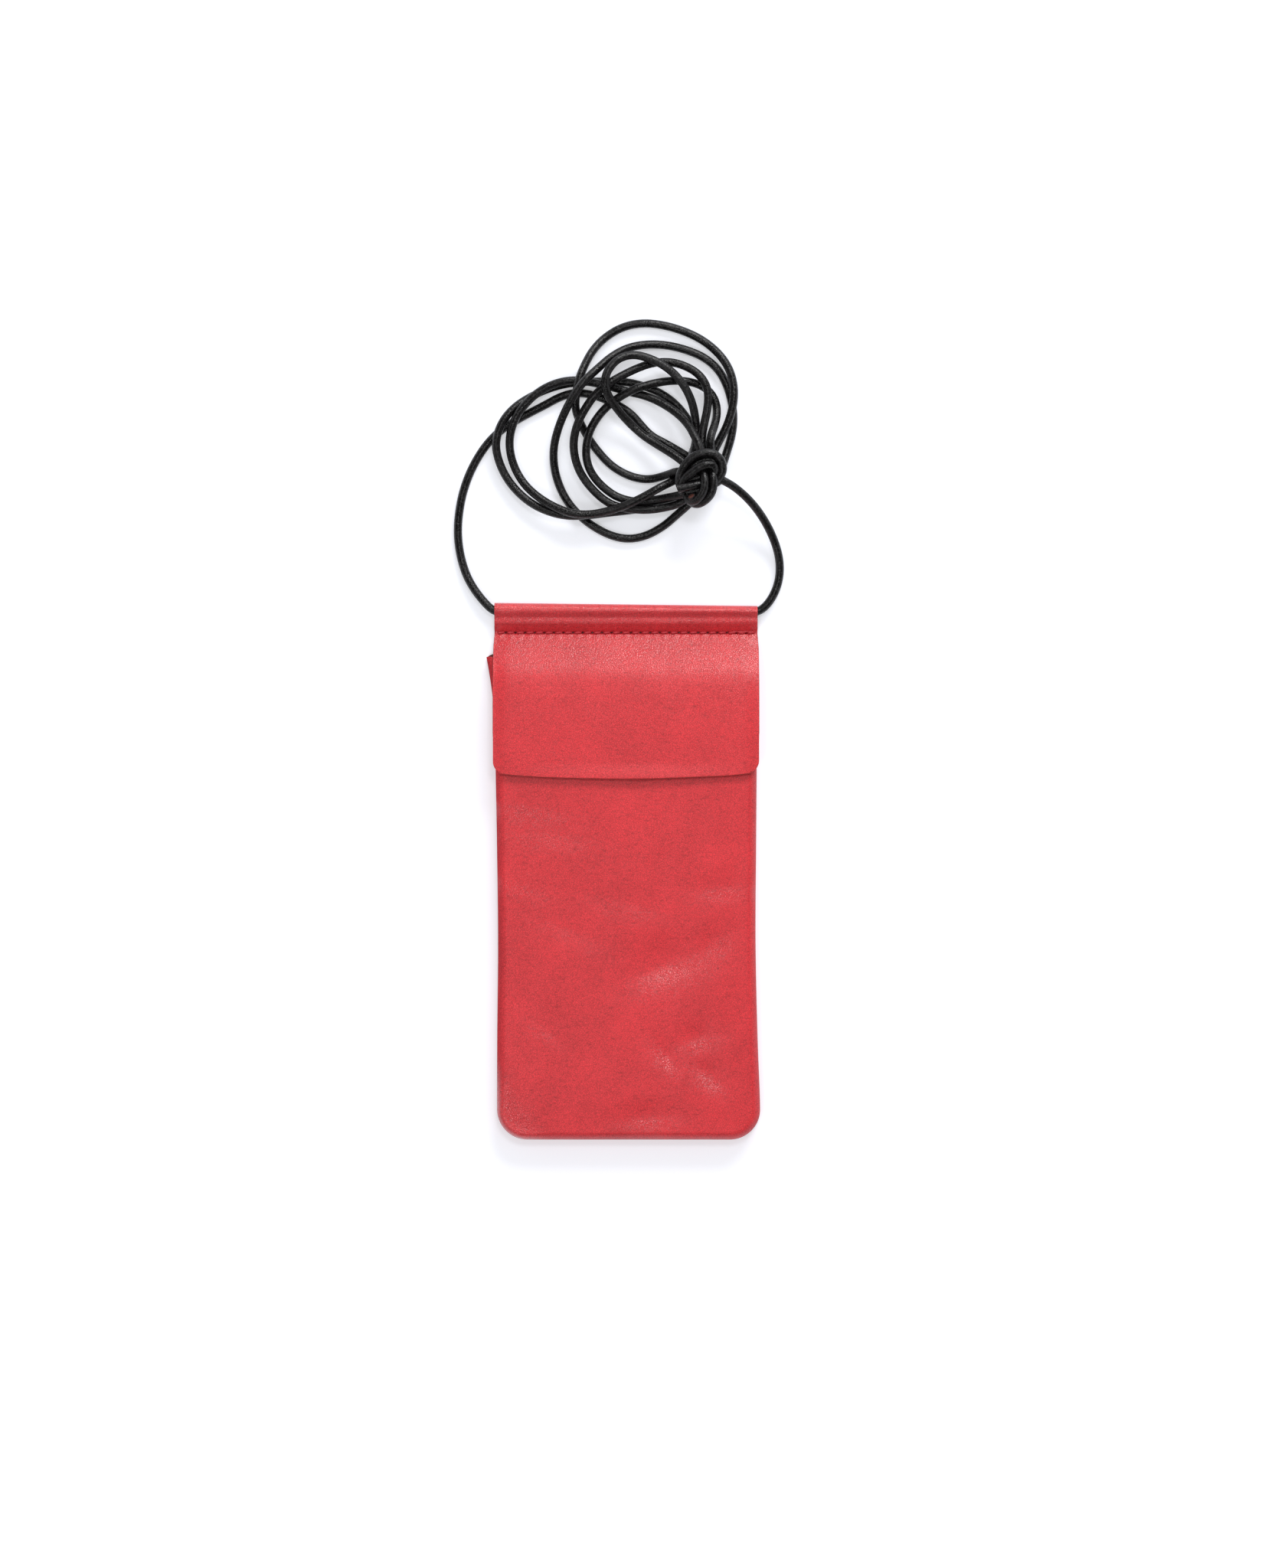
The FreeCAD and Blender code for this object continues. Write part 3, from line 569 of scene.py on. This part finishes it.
def nurbs_cord(name, lines, thick):
    """A round cord: one smooth NURBS line of order 3 for each list of control points."""
    curve = bpy.data.curves.new(name, "CURVE")
    curve.dimensions = "3D"
    curve.bevel_depth = thick / 2 * MM
    curve.bevel_resolution = 5
    curve.resolution_u = 8
    curve.use_fill_caps = True
    for points in lines:
        spline = curve.splines.new("NURBS")
        spline.points.add(len(points) - 1)
        for point, (x, y, z) in zip(spline.points, points):
            point.co = (x * MM, y * MM, z * MM, 1.0)
        spline.order_u = 3
        spline.use_endpoint_u = True
    curve.materials.append(BLACK_CORD)
    cord = bpy.data.objects.new(name, curve)
    bpy.context.scene.collection.objects.link(cord)
    return cord


# The knot's strands as x, y and z, and the two cut ends with the way they point.
KNOT_STRANDS = [
    [(20.6, 135.8, 15.2), (19.2, 138.0, 16.2), (19.0, 140.8, 17.3), (20.1, 143.9, 18.3), (22.0, 146.5, 18.9),
     (24.2, 148.4, 19.2), (27.0, 149.5, 19.3), (29.7, 149.8, 19.3), (32.0, 149.0, 19.1), (33.8, 147.2, 18.8),
     (34.6, 144.9, 18.5), (34.4, 142.7, 18.0), (33.0, 140.6, 17.2), (30.6, 139.2, 16.2), (27.6, 139.0, 15.4)],
    [(19.8, 137.8, 16.6), (20.4, 139.8, 17.9), (22.0, 141.6, 19.0), (24.0, 143.1, 19.8), (26.6, 144.8, 20.4),
     (29.4, 145.6, 20.4), (31.3, 145.0, 19.9), (31.8, 143.4, 18.8), (31.0, 141.6, 17.4), (29.2, 140.6, 16.0)],
    [(20.6, 140.8, 15.8), (22.8, 144.0, 16.6), (25.8, 146.6, 16.9), (29.6, 147.5, 16.9), (32.4, 146.2, 16.7),
     (32.8, 143.4, 16.1), (31.2, 141.2, 15.4)],
    [(27.4, 144.8, 16.9), (27.8, 142.0, 19.2), (28.2, 139.0, 20.3), (27.8, 136.2, 20.0), (26.4, 133.9, 19.0),
     (24.6, 132.5, 17.6), (22.6, 132.5, 16.0), (21.6, 134.4, 14.8), (22.4, 137.2, 14.4)],
    [(30.4, 145.0, 16.9), (31.0, 142.4, 18.6), (31.2, 139.8, 19.4), (31.1, 137.2, 19.2), (30.3, 134.9, 18.5),
     (28.6, 133.0, 17.5), (26.4, 131.7, 16.2), (24.2, 131.7, 14.9), (22.8, 133.2, 14.2), (22.8, 136.0, 14.2)],
    [(33.2, 139.9, 15.8), (30.0, 137.8, 16.6), (25.6, 136.6, 15.9), (21.6, 136.0, 15.2)],
    [(24.6, 147.2, 15.4), (26.6, 142.8, 16.2), (28.8, 138.6, 16.6), (28.4, 135.2, 15.8)],
    [(20.0, 139.0, 14.8), (23.4, 140.4, 16.0), (27.0, 141.4, 16.4), (31.0, 142.6, 15.6), (32.6, 145.2, 14.8)],
    [(30.0, 139.3, 17.4), (25.6, 138.4, 18.7), (22.0, 137.6, 19.0), (18.4, 136.8, 18.9)],
    [(26.6, 136.4, 16.4), (26.0, 133.4, 15.6), (24.7, 132.2, 16.2), (23.3, 134.3, 18.0)],
]
TAIL_ENDS = [((18.4, 136.8, 18.9), (-3.6, -0.8, -0.1)), ((23.3, 134.3, 18.0), (-1.4, 2.1, 1.8))]


def cut_end(name, place, heading):
    """The cut end of a tail: a disc square to the heading, polar rings from its middle to the cord's
    radius, slightly domed, with the ring's share of the radius as its mark."""
    rings, spokes = 8, 25
    radius = 1.05 * CORD_DIAMETER / 2
    proud, dome = 0.03, 0.12
    onward = np.array(heading) / np.linalg.norm(heading)
    across = np.cross(onward, UP)
    across = across / np.linalg.norm(across)
    up = np.cross(across, onward)
    share = np.linspace(0.02, 1.0, rings)[:, None, None]
    turn = np.linspace(0.0, 2 * math.pi, spokes)[None, :, None]
    disc = np.array(place) + radius * share * (np.cos(turn) * across + np.sin(turn) * up)
    disc = disc + onward * (proud + dome * (1 - share ** 2))
    marks = {"rim": np.broadcast_to(share[:, :, 0], (rings, spokes))}
    return add_piece(name, disc, grid_quads(rings, spokes, 0, False), CORD_CORE, marks)


neck_cord = nurbs_cord("neck_cord", [laid(sum(TURNS, LEFT_RUN))], CORD_DIAMETER)
right_cord = nurbs_cord("right_cord", [RIGHT_RUN], CORD_DIAMETER)
knot = nurbs_cord("knot_strands", KNOT_STRANDS, KNOT_SWELL * CORD_DIAMETER)
tail_ends = [cut_end("tail_end_%d" % (i + 1), p, h) for i, (p, h) in enumerate(TAIL_ENDS)]
for piece in [neck_cord, right_cord, knot] + tail_ends:
    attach(piece, "pouch")
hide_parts("cord_left_run", "cord_loops")
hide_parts("cord_right_run")
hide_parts("cord_knot")


# Leather

# The pocket's side edges as y and x, and how far the left one bends out to the mouth.
LEFT_EDGE = [(-96.5, -46.5), (-60.0, -46.4), (-25.0, -46.1), (10.0, -46.5), (45.0, -47.1), (80.0, -47.2)]
RIGHT_EDGE = [
    (-96.5, 48.4), (-84.0, 48.3), (-62.0, 47.5), (-25.0, 46.7), (10.0, 46.9), (45.0, 47.1), (80.0, 47.0),
]
FLARE_OUT = 3.1
FLARE_START_Y = 52.0
FLARE_LENGTH = 25.3
TURNED_BULGE = 0.55


def pocket_sides(y):
    """The pocket's left and right edges at y: smooth lines through a few places, drawn in at the waist,
    fuller at the lower right, with the left edge bent out to the mouth. Past the mouth both come back in
    to the tunnel's width."""
    places = np.linspace(0.0, 1.0, 300)
    left, right = [through(edge, places) for edge in (LEFT_EDGE, RIGHT_EDGE)]
    flare = FLARE_OUT * np.clip((y - FLARE_START_Y) / FLARE_LENGTH, 0.0, 1.0) ** 1.5
    back_in = smoothstep(MOUTH_Y + 0.1, MOUTH_Y + 1.6, y)
    a = np.interp(y, left[:, 0], left[:, 1]) - flare
    b = np.interp(y, right[:, 0], right[:, 1])
    return a + (-TUNNEL_HALF - a) * back_in, b + (TUNNEL_HALF - b) * back_in


def edge_roll(away, radius):
    """The share of the roll's radius that a place lies in from the edge, and the height of a quarter
    ellipse there."""
    q = np.clip(away / radius, 0.0, 1.0)
    return q, np.sqrt(np.maximum(1 - (1 - q) ** 2, 0.0))


def pocket_grid(rows, roll, columns_step):
    """Places across the pocket at each row. The row's ends follow the outline with its round bottom
    corners, and the columns crowd towards both ends by the cosine of the roll's angle. Returns x, y, the
    distance in from the outline and the outward direction there."""
    edge_columns = 12
    y = rows[:, None]
    left, right = pocket_sides(y)
    low = np.clip(y - BOTTOM_Y, 0.0, CORNER_RADIUS)
    draw_in = CORNER_RADIUS - np.sqrt(np.maximum(CORNER_RADIUS ** 2 - (CORNER_RADIUS - low) ** 2, 0.0))
    a, b = left + draw_in, right - draw_in
    edge = roll * (1 - np.cos(np.linspace(0.0, math.pi / 2, edge_columns)))
    middle = np.arange(roll + columns_step, POCKET_WIDTH - roll - columns_step / 2, columns_step)
    share = np.concatenate([edge, middle, POCKET_WIDTH - edge[::-1]]) / POCKET_WIDTH
    x = a + (b - a) * share[None, :]
    y = np.broadcast_to(y, x.shape)
    from_left, from_right, from_low = x - left, right - x, y - BOTTOM_Y
    side = np.minimum(from_left, from_right)
    facing = np.where(from_left < from_right, -1.0, 1.0)
    dx, dy = CORNER_RADIUS - side, CORNER_RADIUS - from_low
    round_corner = (dx > 0) & (dy > 0)
    reach = np.hypot(dx, dy)
    away = np.where(round_corner, CORNER_RADIUS - reach, np.minimum(side, from_low))
    along_side = side < from_low
    out_x = np.where(round_corner, facing * dx / np.maximum(reach, 1e-9), np.where(along_side, facing, 0.0))
    out_y = np.where(round_corner, -dy / np.maximum(reach, 1e-9), np.where(along_side, 0.0, -1.0))
    return x, y, np.maximum(away, 0.0), np.stack([out_x, out_y, np.zeros_like(x)], axis=-1)


def pocket_rows(end_y, step):
    """Rows from the mouth or the fold down to the bottom edge, crowded round the bottom corners by the
    cosine of the corner's angle."""
    corner_rows = 34
    corner = BOTTOM_Y + CORNER_RADIUS * (1 - np.cos(np.linspace(math.pi / 2, 0.0, corner_rows)))
    body = np.arange(end_y, BOTTOM_Y + CORNER_RADIUS + step / 2, -step)
    return np.concatenate([body, corner])


# Each dent's centre, angle, half length, width below and above its line, and depth.
FRONT_DENTS = [
    ((16.0, -31.8), 20.0, 15.0, 7.0, 10.0, 1.7),
    ((31.0, -25.5), 34.0, 6.0, 4.0, 5.0, 0.7),
    ((26.6, -58.8), 13.0, 7.0, 4.2, 5.0, 0.95),
    ((15.4, -65.4), -50.0, 7.0, 4.2, 5.0, 0.95),
    ((30.6, -72.2), -40.0, 7.5, 4.4, 5.0, 1.0),
    ((7.6, -87.4), 2.0, 10.0, 4.2, 5.0, 0.8),
    ((-33.0, 24.0), -9.0, 13.0, 5.0, 6.0, 0.55),
    ((-27.0, 14.5), -6.0, 14.0, 4.5, 5.0, 0.4),
    ((-36.0, -4.0), -20.0, 10.0, 4.0, 5.0, 0.3),
    ((34.0, -5.0), 5.0, 11.0, 4.5, 5.0, 0.45),
    ((2.0, -11.0), -14.0, 15.0, 4.5, 6.0, 0.3),
    ((-18.0, -21.0), -24.0, 14.0, 4.5, 6.0, 0.3),
    ((-28.0, -56.0), -38.0, 8.0, 3.6, 4.0, 0.35),
]


def front_shape(x, y, away):
    """The front leather's height: from the seam up a quarter ellipse at the edge, then a long soft
    crown, bent down to the lip at the mouth, less the dents, a pressed lower left corner and waves. Also
    where it is bent enough to shine."""
    crown_reach, crown_share = 17.0, 0.10
    corner_x, corner_y, corner_slant, corner_reach, corner_depth = -46.0, -95.0, 0.62, 20.0, 2.1
    drop = np.clip((y - LIP_START_Y) / (MOUTH_Y - LIP_START_Y), 0.0, 1.0)
    full = FRONT_Z - (FRONT_Z - LIP_Z) * drop ** 2
    roll = edge_roll(away, FRONT_ROLL)[1]
    crown = smoothstep(0.0, crown_reach, away)
    rim_z = SEAM_Z + LEATHER / 2
    height = rim_z + (full - rim_z) * ((1 - crown_share) * roll + crown_share * crown)
    calm = smoothstep(2.0, 9.0, away)
    bent = np.zeros_like(x)
    for centre, turn, long, below, above, depth in FRONT_DENTS:
        hollow, slope = dent(x, y, centre, turn, long, below, above)
        height = height - depth * calm * hollow
        bent = np.maximum(bent, slope * min(1.0, 1.1 * depth))
    corner = np.clip(1 - ((x - corner_x) + corner_slant * (y - corner_y)) / corner_reach, 0.0, 1.0)
    height = height - corner_depth * corner ** 1.1 * smoothstep(0.3, 4.0, away)
    bent = np.maximum(bent, 0.85 * smoothstep(0.0, 0.7, corner))
    waves = 0.10 * ripple(x, y, 26.0, 3) + 0.05 * ripple(x, y * 1.8, 11.0, 4)
    return height + waves * calm, bent


def make_front():
    """The front leather: its face over the pocket's outline, and its under face set in by the leather's
    thickness along the roll's normal."""
    step, steepness, cut_bulge = 0.78, 2.2, 0.15
    x, y, away, outward = pocket_grid(pocket_rows(MOUTH_Y, step), FRONT_ROLL, step)
    height, bent = front_shape(x, y, away)
    face = np.stack([x, y, height], axis=-1)
    q, level = [part[..., None] for part in edge_roll(away, FRONT_ROLL)]
    normal = outward * (1 - q) * steepness + UP * level
    normal = normal / np.linalg.norm(normal, axis=-1, keepdims=True)
    under = face - LEATHER * normal
    turned = -TURNED_BULGE * UP
    dull = (1 - smoothstep(0.8, 3.4, away)) * outward[..., 0] ** 2 * np.where(x < 0, 1.0, 0.35)
    # Painted shade on the pocket's left edge where it juts out beside the flap, carried by the mark hollow.
    shade = 0.25 * smoothstep(56.0, 70.0, y) * (x < -46.8)
    marks = {"side": dull, "bent": bent, "hollow": shade}
    edges = [cut_bulge, turned, turned, turned]
    return leather_sheet("front_leather", face, under, edges, RED_LEATHER, marks)


def make_back():
    """The back leather: flat below, its edges rolled up to the seam along a quarter ellipse, which fades
    out above the mouth, with a groove for the thread across the top. The face points down."""
    step, steepness = 0.8, 1.2
    groove_depth, groove_half = 0.62, 0.55
    x, y, away, outward = pocket_grid(pocket_rows(BACK_END_Y, step), BACK_ROLL, step)
    q, roll = edge_roll(away, BACK_ROLL)
    walled = 1 - smoothstep(74.0, 79.0, y)
    lift = (SEAM_Z - LEATHER / 2) * (1 - roll) * walled
    groove = groove_depth * np.exp(-((y - STITCH_Y) / groove_half) ** 4)
    face = np.stack([x, y, lift + groove], axis=-1)
    level = (roll * walled + (1 - walled))[..., None]
    normal = outward * ((1 - q) * steepness * walled)[..., None] - UP * level
    normal = normal / np.linalg.norm(normal, axis=-1, keepdims=True)
    under = face - LEATHER * normal
    under[..., 2] -= np.minimum(groove, 0.6)
    turned = TURNED_BULGE * UP
    # Painted shade along the thread groove, carried by the mark hollow.
    hollow = 0.5 * smoothstep(0.1, 0.6, groove)
    dull = (1 - smoothstep(0.5, 2.4, away)) * walled
    marks = {"hollow": hollow[:, ::-1], "side": dull[:, ::-1]}
    edges = [0.0, turned, turned, turned]
    return leather_sheet("back_leather", face[:, ::-1], under[:, ::-1], edges, RED_LEATHER, marks)


# The profile of the fold and the flap as y and z, from under the cord round it and down to where the
# flap is flat, its length, how far along it the stitches are, and how far its fold has closer rows.
FLAP_LINE = [
    (91.5, 0.0), (92.6, 0.0), (93.65, 0.0), (94.75, 0.22), (95.67, 0.83), (96.28, 1.76), (96.5, 2.85),
    (96.28, 3.94), (95.67, 4.87), (94.75, 5.5), (93.8, 5.62), (93.0, 5.3), (92.3, 4.85), (91.6, 4.5),
    (90.9, 4.46), (90.2, 4.5), (89.5, 4.34), (88.8, 3.82), (88.1, 3.22), (87.4, 2.62), (86.8, 2.15),
    (86.2, 2.0), (85.4, 2.1), (84.5, 2.55), (83.2, 3.3), (81.0, 4.65), (78.5, 6.2), (76.0, 7.7),
    (73.5, 9.05), (71.0, 10.1), (68.5, 10.8), (66.0, 11.2), (63.0, 11.5), (59.0, 11.72), (54.0, 11.92),
    (50.0, 12.0),
]
FLAP_LINE_LENGTH = 58.1
STITCHES_ALONG = 19.95
FOLD_LENGTH = 17.5

# The flap's lower edge as x and y, and small creases near its upper left corner as a centre and an angle.
FLAP_EDGE = [
    (-47.7, 35.6), (-42.0, 35.0), (-10.0, 33.6), (3.0, 33.5), (23.0, 34.1), (42.0, 35.2), (47.7, 36.0),
]
FLAP_CORNER = 4.0
FLAP_CREASES = [((-44.5, 84.4), 35.0), ((-42.6, 84.0), 42.0), ((-45.6, 83.0), 30.0)]


def flap_low_edge(x):
    """The flap's lower edge: a bowed line through a few places, with round corners."""
    line = through(FLAP_EDGE, np.linspace(0.0, 1.0, 400))
    past = np.clip(np.abs(x) - (FLAP_HALF - FLAP_CORNER), 0.0, FLAP_CORNER)
    rounded = FLAP_CORNER - np.sqrt(np.maximum(FLAP_CORNER ** 2 - past ** 2, 0.0))
    return np.interp(x, line[:, 0], line[:, 1]) + rounded


def flap_grid():
    """The plain surface of the fold and the flap: the profile carried across the width, with columns at
    tenths of a stitch, and from its end straight down to the bowed edge. Also 1 from the stitches on."""
    steps = spaced(0.0, FLAP_LINE_LENGTH, 0.85, close_at=(STITCHES_ALONG,), close_step=0.22, close_reach=1.8)
    steps = np.union1d(steps, spaced(0.0, FOLD_LENGTH, 0.5))
    profile = through(FLAP_LINE, steps / FLAP_LINE_LENGTH)
    low = 1 - (1 - np.linspace(0.0, 1.0, 26)[1:]) ** 1.25
    inner = np.arange(-130, 131) * STITCH_PITCH / 10
    outer = STITCHED_HALF + (FLAP_HALF - STITCHED_HALF) * np.sin(np.linspace(0.0, math.pi / 2, 12))[1:]
    across = np.concatenate([-outer[::-1], inner, outer])
    upper = (len(profile), len(across))
    y_low = FLAP_STRAIGHT_Y + (flap_low_edge(across)[None, :] - FLAP_STRAIGHT_Y) * low[:, None]
    y = np.concatenate([np.broadcast_to(profile[:, :1], upper), y_low])
    z = np.concatenate([np.broadcast_to(profile[:, 1:], upper), np.full_like(y_low, FLAP_Z)])
    x = np.broadcast_to(across, y.shape).copy()
    first = int(np.argmin(np.abs(profile[:, 0] - STITCH_Y)))
    on_flap = np.zeros_like(x)
    on_flap[first:] = 1.0
    return x, y, z, on_flap


def sewn_relief(x, y, top):
    """How the stitches shape the leather: a furrow along them, a needle hole between each two, and puffs
    beside each stitch by a cosine along the row. Returns the height and the holes."""
    furrow_depth, hole_depth, puff_height = 0.2, 0.7, 0.14
    furrow = np.exp(-((y - STITCH_Y) / 0.75) ** 2) * top
    dx = (x / STITCH_PITCH - np.floor(x / STITCH_PITCH) - 0.5) * STITCH_PITCH
    hole = np.exp(-(dx / 0.58) ** 2 - ((y - STITCH_Y - 0.12 * dx) / 0.42) ** 2) * top * (np.abs(x) < 45.5)
    beside = np.exp(-((y - STITCH_Y - 1.4) / 0.9) ** 2) + 0.5 * np.exp(-((y - STITCH_Y + 1.5) / 0.9) ** 2)
    puff = puff_height * np.cos(2 * math.pi * x / STITCH_PITCH) * top
    return puff * beside - furrow_depth * furrow - hole_depth * hole, hole


def make_flap():
    """The leather that folds over the cord, is sewn down and hangs on as the flap. Its sides fall a
    little, its lower edge stands off in the middle, it waves, the stitches shape it, and the fold is
    ridged, and slopes a little from end to end."""
    side_fall, low_lift, ridge_height, crease_depth, cut_bulge = 0.7, 1.0, 0.16, 0.25, 0.12
    x, y, z, on_flap = flap_grid()
    hanging = on_flap * (1 - smoothstep(80.0, 86.5, y))
    x = x * (1 - (1 - hanging) * (FLAP_HALF - TUNNEL_HALF) / FLAP_HALF)
    fall = smoothstep(40.0, FLAP_HALF, np.abs(x)) ** 2
    lift = (1 - smoothstep(33.5, 39.5, y)) * np.clip(1 - ((x - 2.0) / 42.0) ** 2, 0.0, 1.0)
    waves = 0.12 * ripple(x, y, 30.0, 7) + 0.05 * ripple(x, y, 12.0, 8)
    z = z + hanging * (low_lift * lift - side_fall * fall + waves)
    top = z > 1.2
    relief, hole = sewn_relief(x, y, top)
    z = z + relief
    ridge = ripple(x, y * 0.2, 16.0, 11)
    z = z + ridge_height * ridge * (z > 3.0) * np.exp(-((y - 91.0) / 2.2) ** 2)
    for centre, turn in FLAP_CREASES:
        z = z - crease_depth * hanging * dent(x, y, centre, turn, 2.2, 0.45, 0.5)[0]
    y = y + (0.4 - 1.1 * (x + TUNNEL_HALF) / (2 * TUNNEL_HALF)) * smoothstep(92.6, 95.6, y)
    face = np.stack([x, y, z], axis=-1)[:, ::-1]
    under = face - LEATHER * grid_normals(face)
    tunnel = top * (1 - on_flap)
    polish = 0.42 * on_flap * smoothstep(66.0, 80.0, y + 4.0 * ripple(x, y, 45.0, 5))
    bent = np.maximum(polish, 0.55 * tunnel)
    # Painted shade on the tunnel's front slope and on the flap's upper slope, and in the needle holes,
    # carried by the mark hollow.
    front_of_tunnel = tunnel * smoothstep(94.6, 93.6, y) * smoothstep(87.8, 90.2, y)
    shade = 0.15 * front_of_tunnel + 0.1 * on_flap * smoothstep(72.0, 82.0, y)
    hollow = np.maximum(smoothstep(0.25, 0.7, hole), shade)
    marks = {"hollow": hollow[:, ::-1], "bent": bent[:, ::-1]}
    edges = [0.0, cut_bulge, cut_bulge, cut_bulge]
    return leather_sheet("flap_leather", face, under, edges, RED_LEATHER, marks)


front = make_front()
back = make_back()
flap = make_flap()
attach(front, "pouch")
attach(back, "pouch")
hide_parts("front_panel")
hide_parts("back_panel")
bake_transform(flap)
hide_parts("flap")


# Sewing

THREAD_RADIUS = 0.38
STITCH_INSET = 0.35
BACK_TACK_COUNT = 4
BACK_TACK_X = 44.9
BACK_TACK_PITCH = 1.9
BACK_TACK_RISE = 0.35


def stitch_tubes(middles, top_z, depth, lean):
    """Short bars of two-ply thread, one for each middle: a tube whose line arches over and dips into the
    needle holes at its ends, and whose radius swings twice round it as it twists."""
    stations, sides = 17, 13
    swing, twist = 0.13, 5.5
    along = np.linspace(-1.0, 1.0, stations)[None, :, None]
    turn = np.linspace(0.0, 2 * math.pi, sides)[None, None, :]
    reach = STITCH_PITCH / 2 - STITCH_INSET
    dip = top_z - depth * np.abs(along) ** 4
    round_end = np.sqrt(np.maximum(1.06 - along ** 8, 0.02))
    radius = THREAD_RADIUS * (1 + swing * np.cos(2 * turn - twist * along)) * round_end
    x = middles[:, 0, None, None] + reach * along + 0 * turn
    y = middles[:, 1, None, None] + lean * along + radius * np.cos(turn)
    z = dip + radius * np.sin(turn) + 0 * x
    points = np.stack(np.broadcast_arrays(x, y, z), axis=-1)
    quads = [grid_quads(stations, sides, i * stations * sides, True) for i in range(len(middles))]
    return points, np.concatenate(quads)


def add_stitches(name, middles, top_z, depth, lean, node):
    """A row of thread bars that stands for one thread node."""
    points, quads = stitch_tubes(np.array(middles), top_z, depth, lean)
    piece = add_piece(name, points, quads, RED_THREAD, {})
    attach(piece, "pouch")
    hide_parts(node)


row = [((i - (STITCH_COUNT - 1) / 2) * STITCH_PITCH, STITCH_Y) for i in range(STITCH_COUNT)]
tack_y = STITCH_Y + BACK_TACK_RISE
back_tack = [(BACK_TACK_X - BACK_TACK_PITCH * i, tack_y) for i in range(BACK_TACK_COUNT)]
add_stitches("tunnel_stitches", row + back_tack, 2.08, 0.7, 0.1, "tunnel_needle_thread")
add_stitches("tunnel_stitches_back", row, 0.46, -0.2, -0.1, "tunnel_bobbin_thread")

# Hidden pieces that are shown as their solids
for name, material in (("cord_in_tunnel", BLACK_CORD), ("pocket_needle_thread", RED_THREAD),
                       ("pocket_bobbin_thread", RED_THREAD)):
    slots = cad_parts[name].data.materials
    slots.clear()
    slots.append(material)
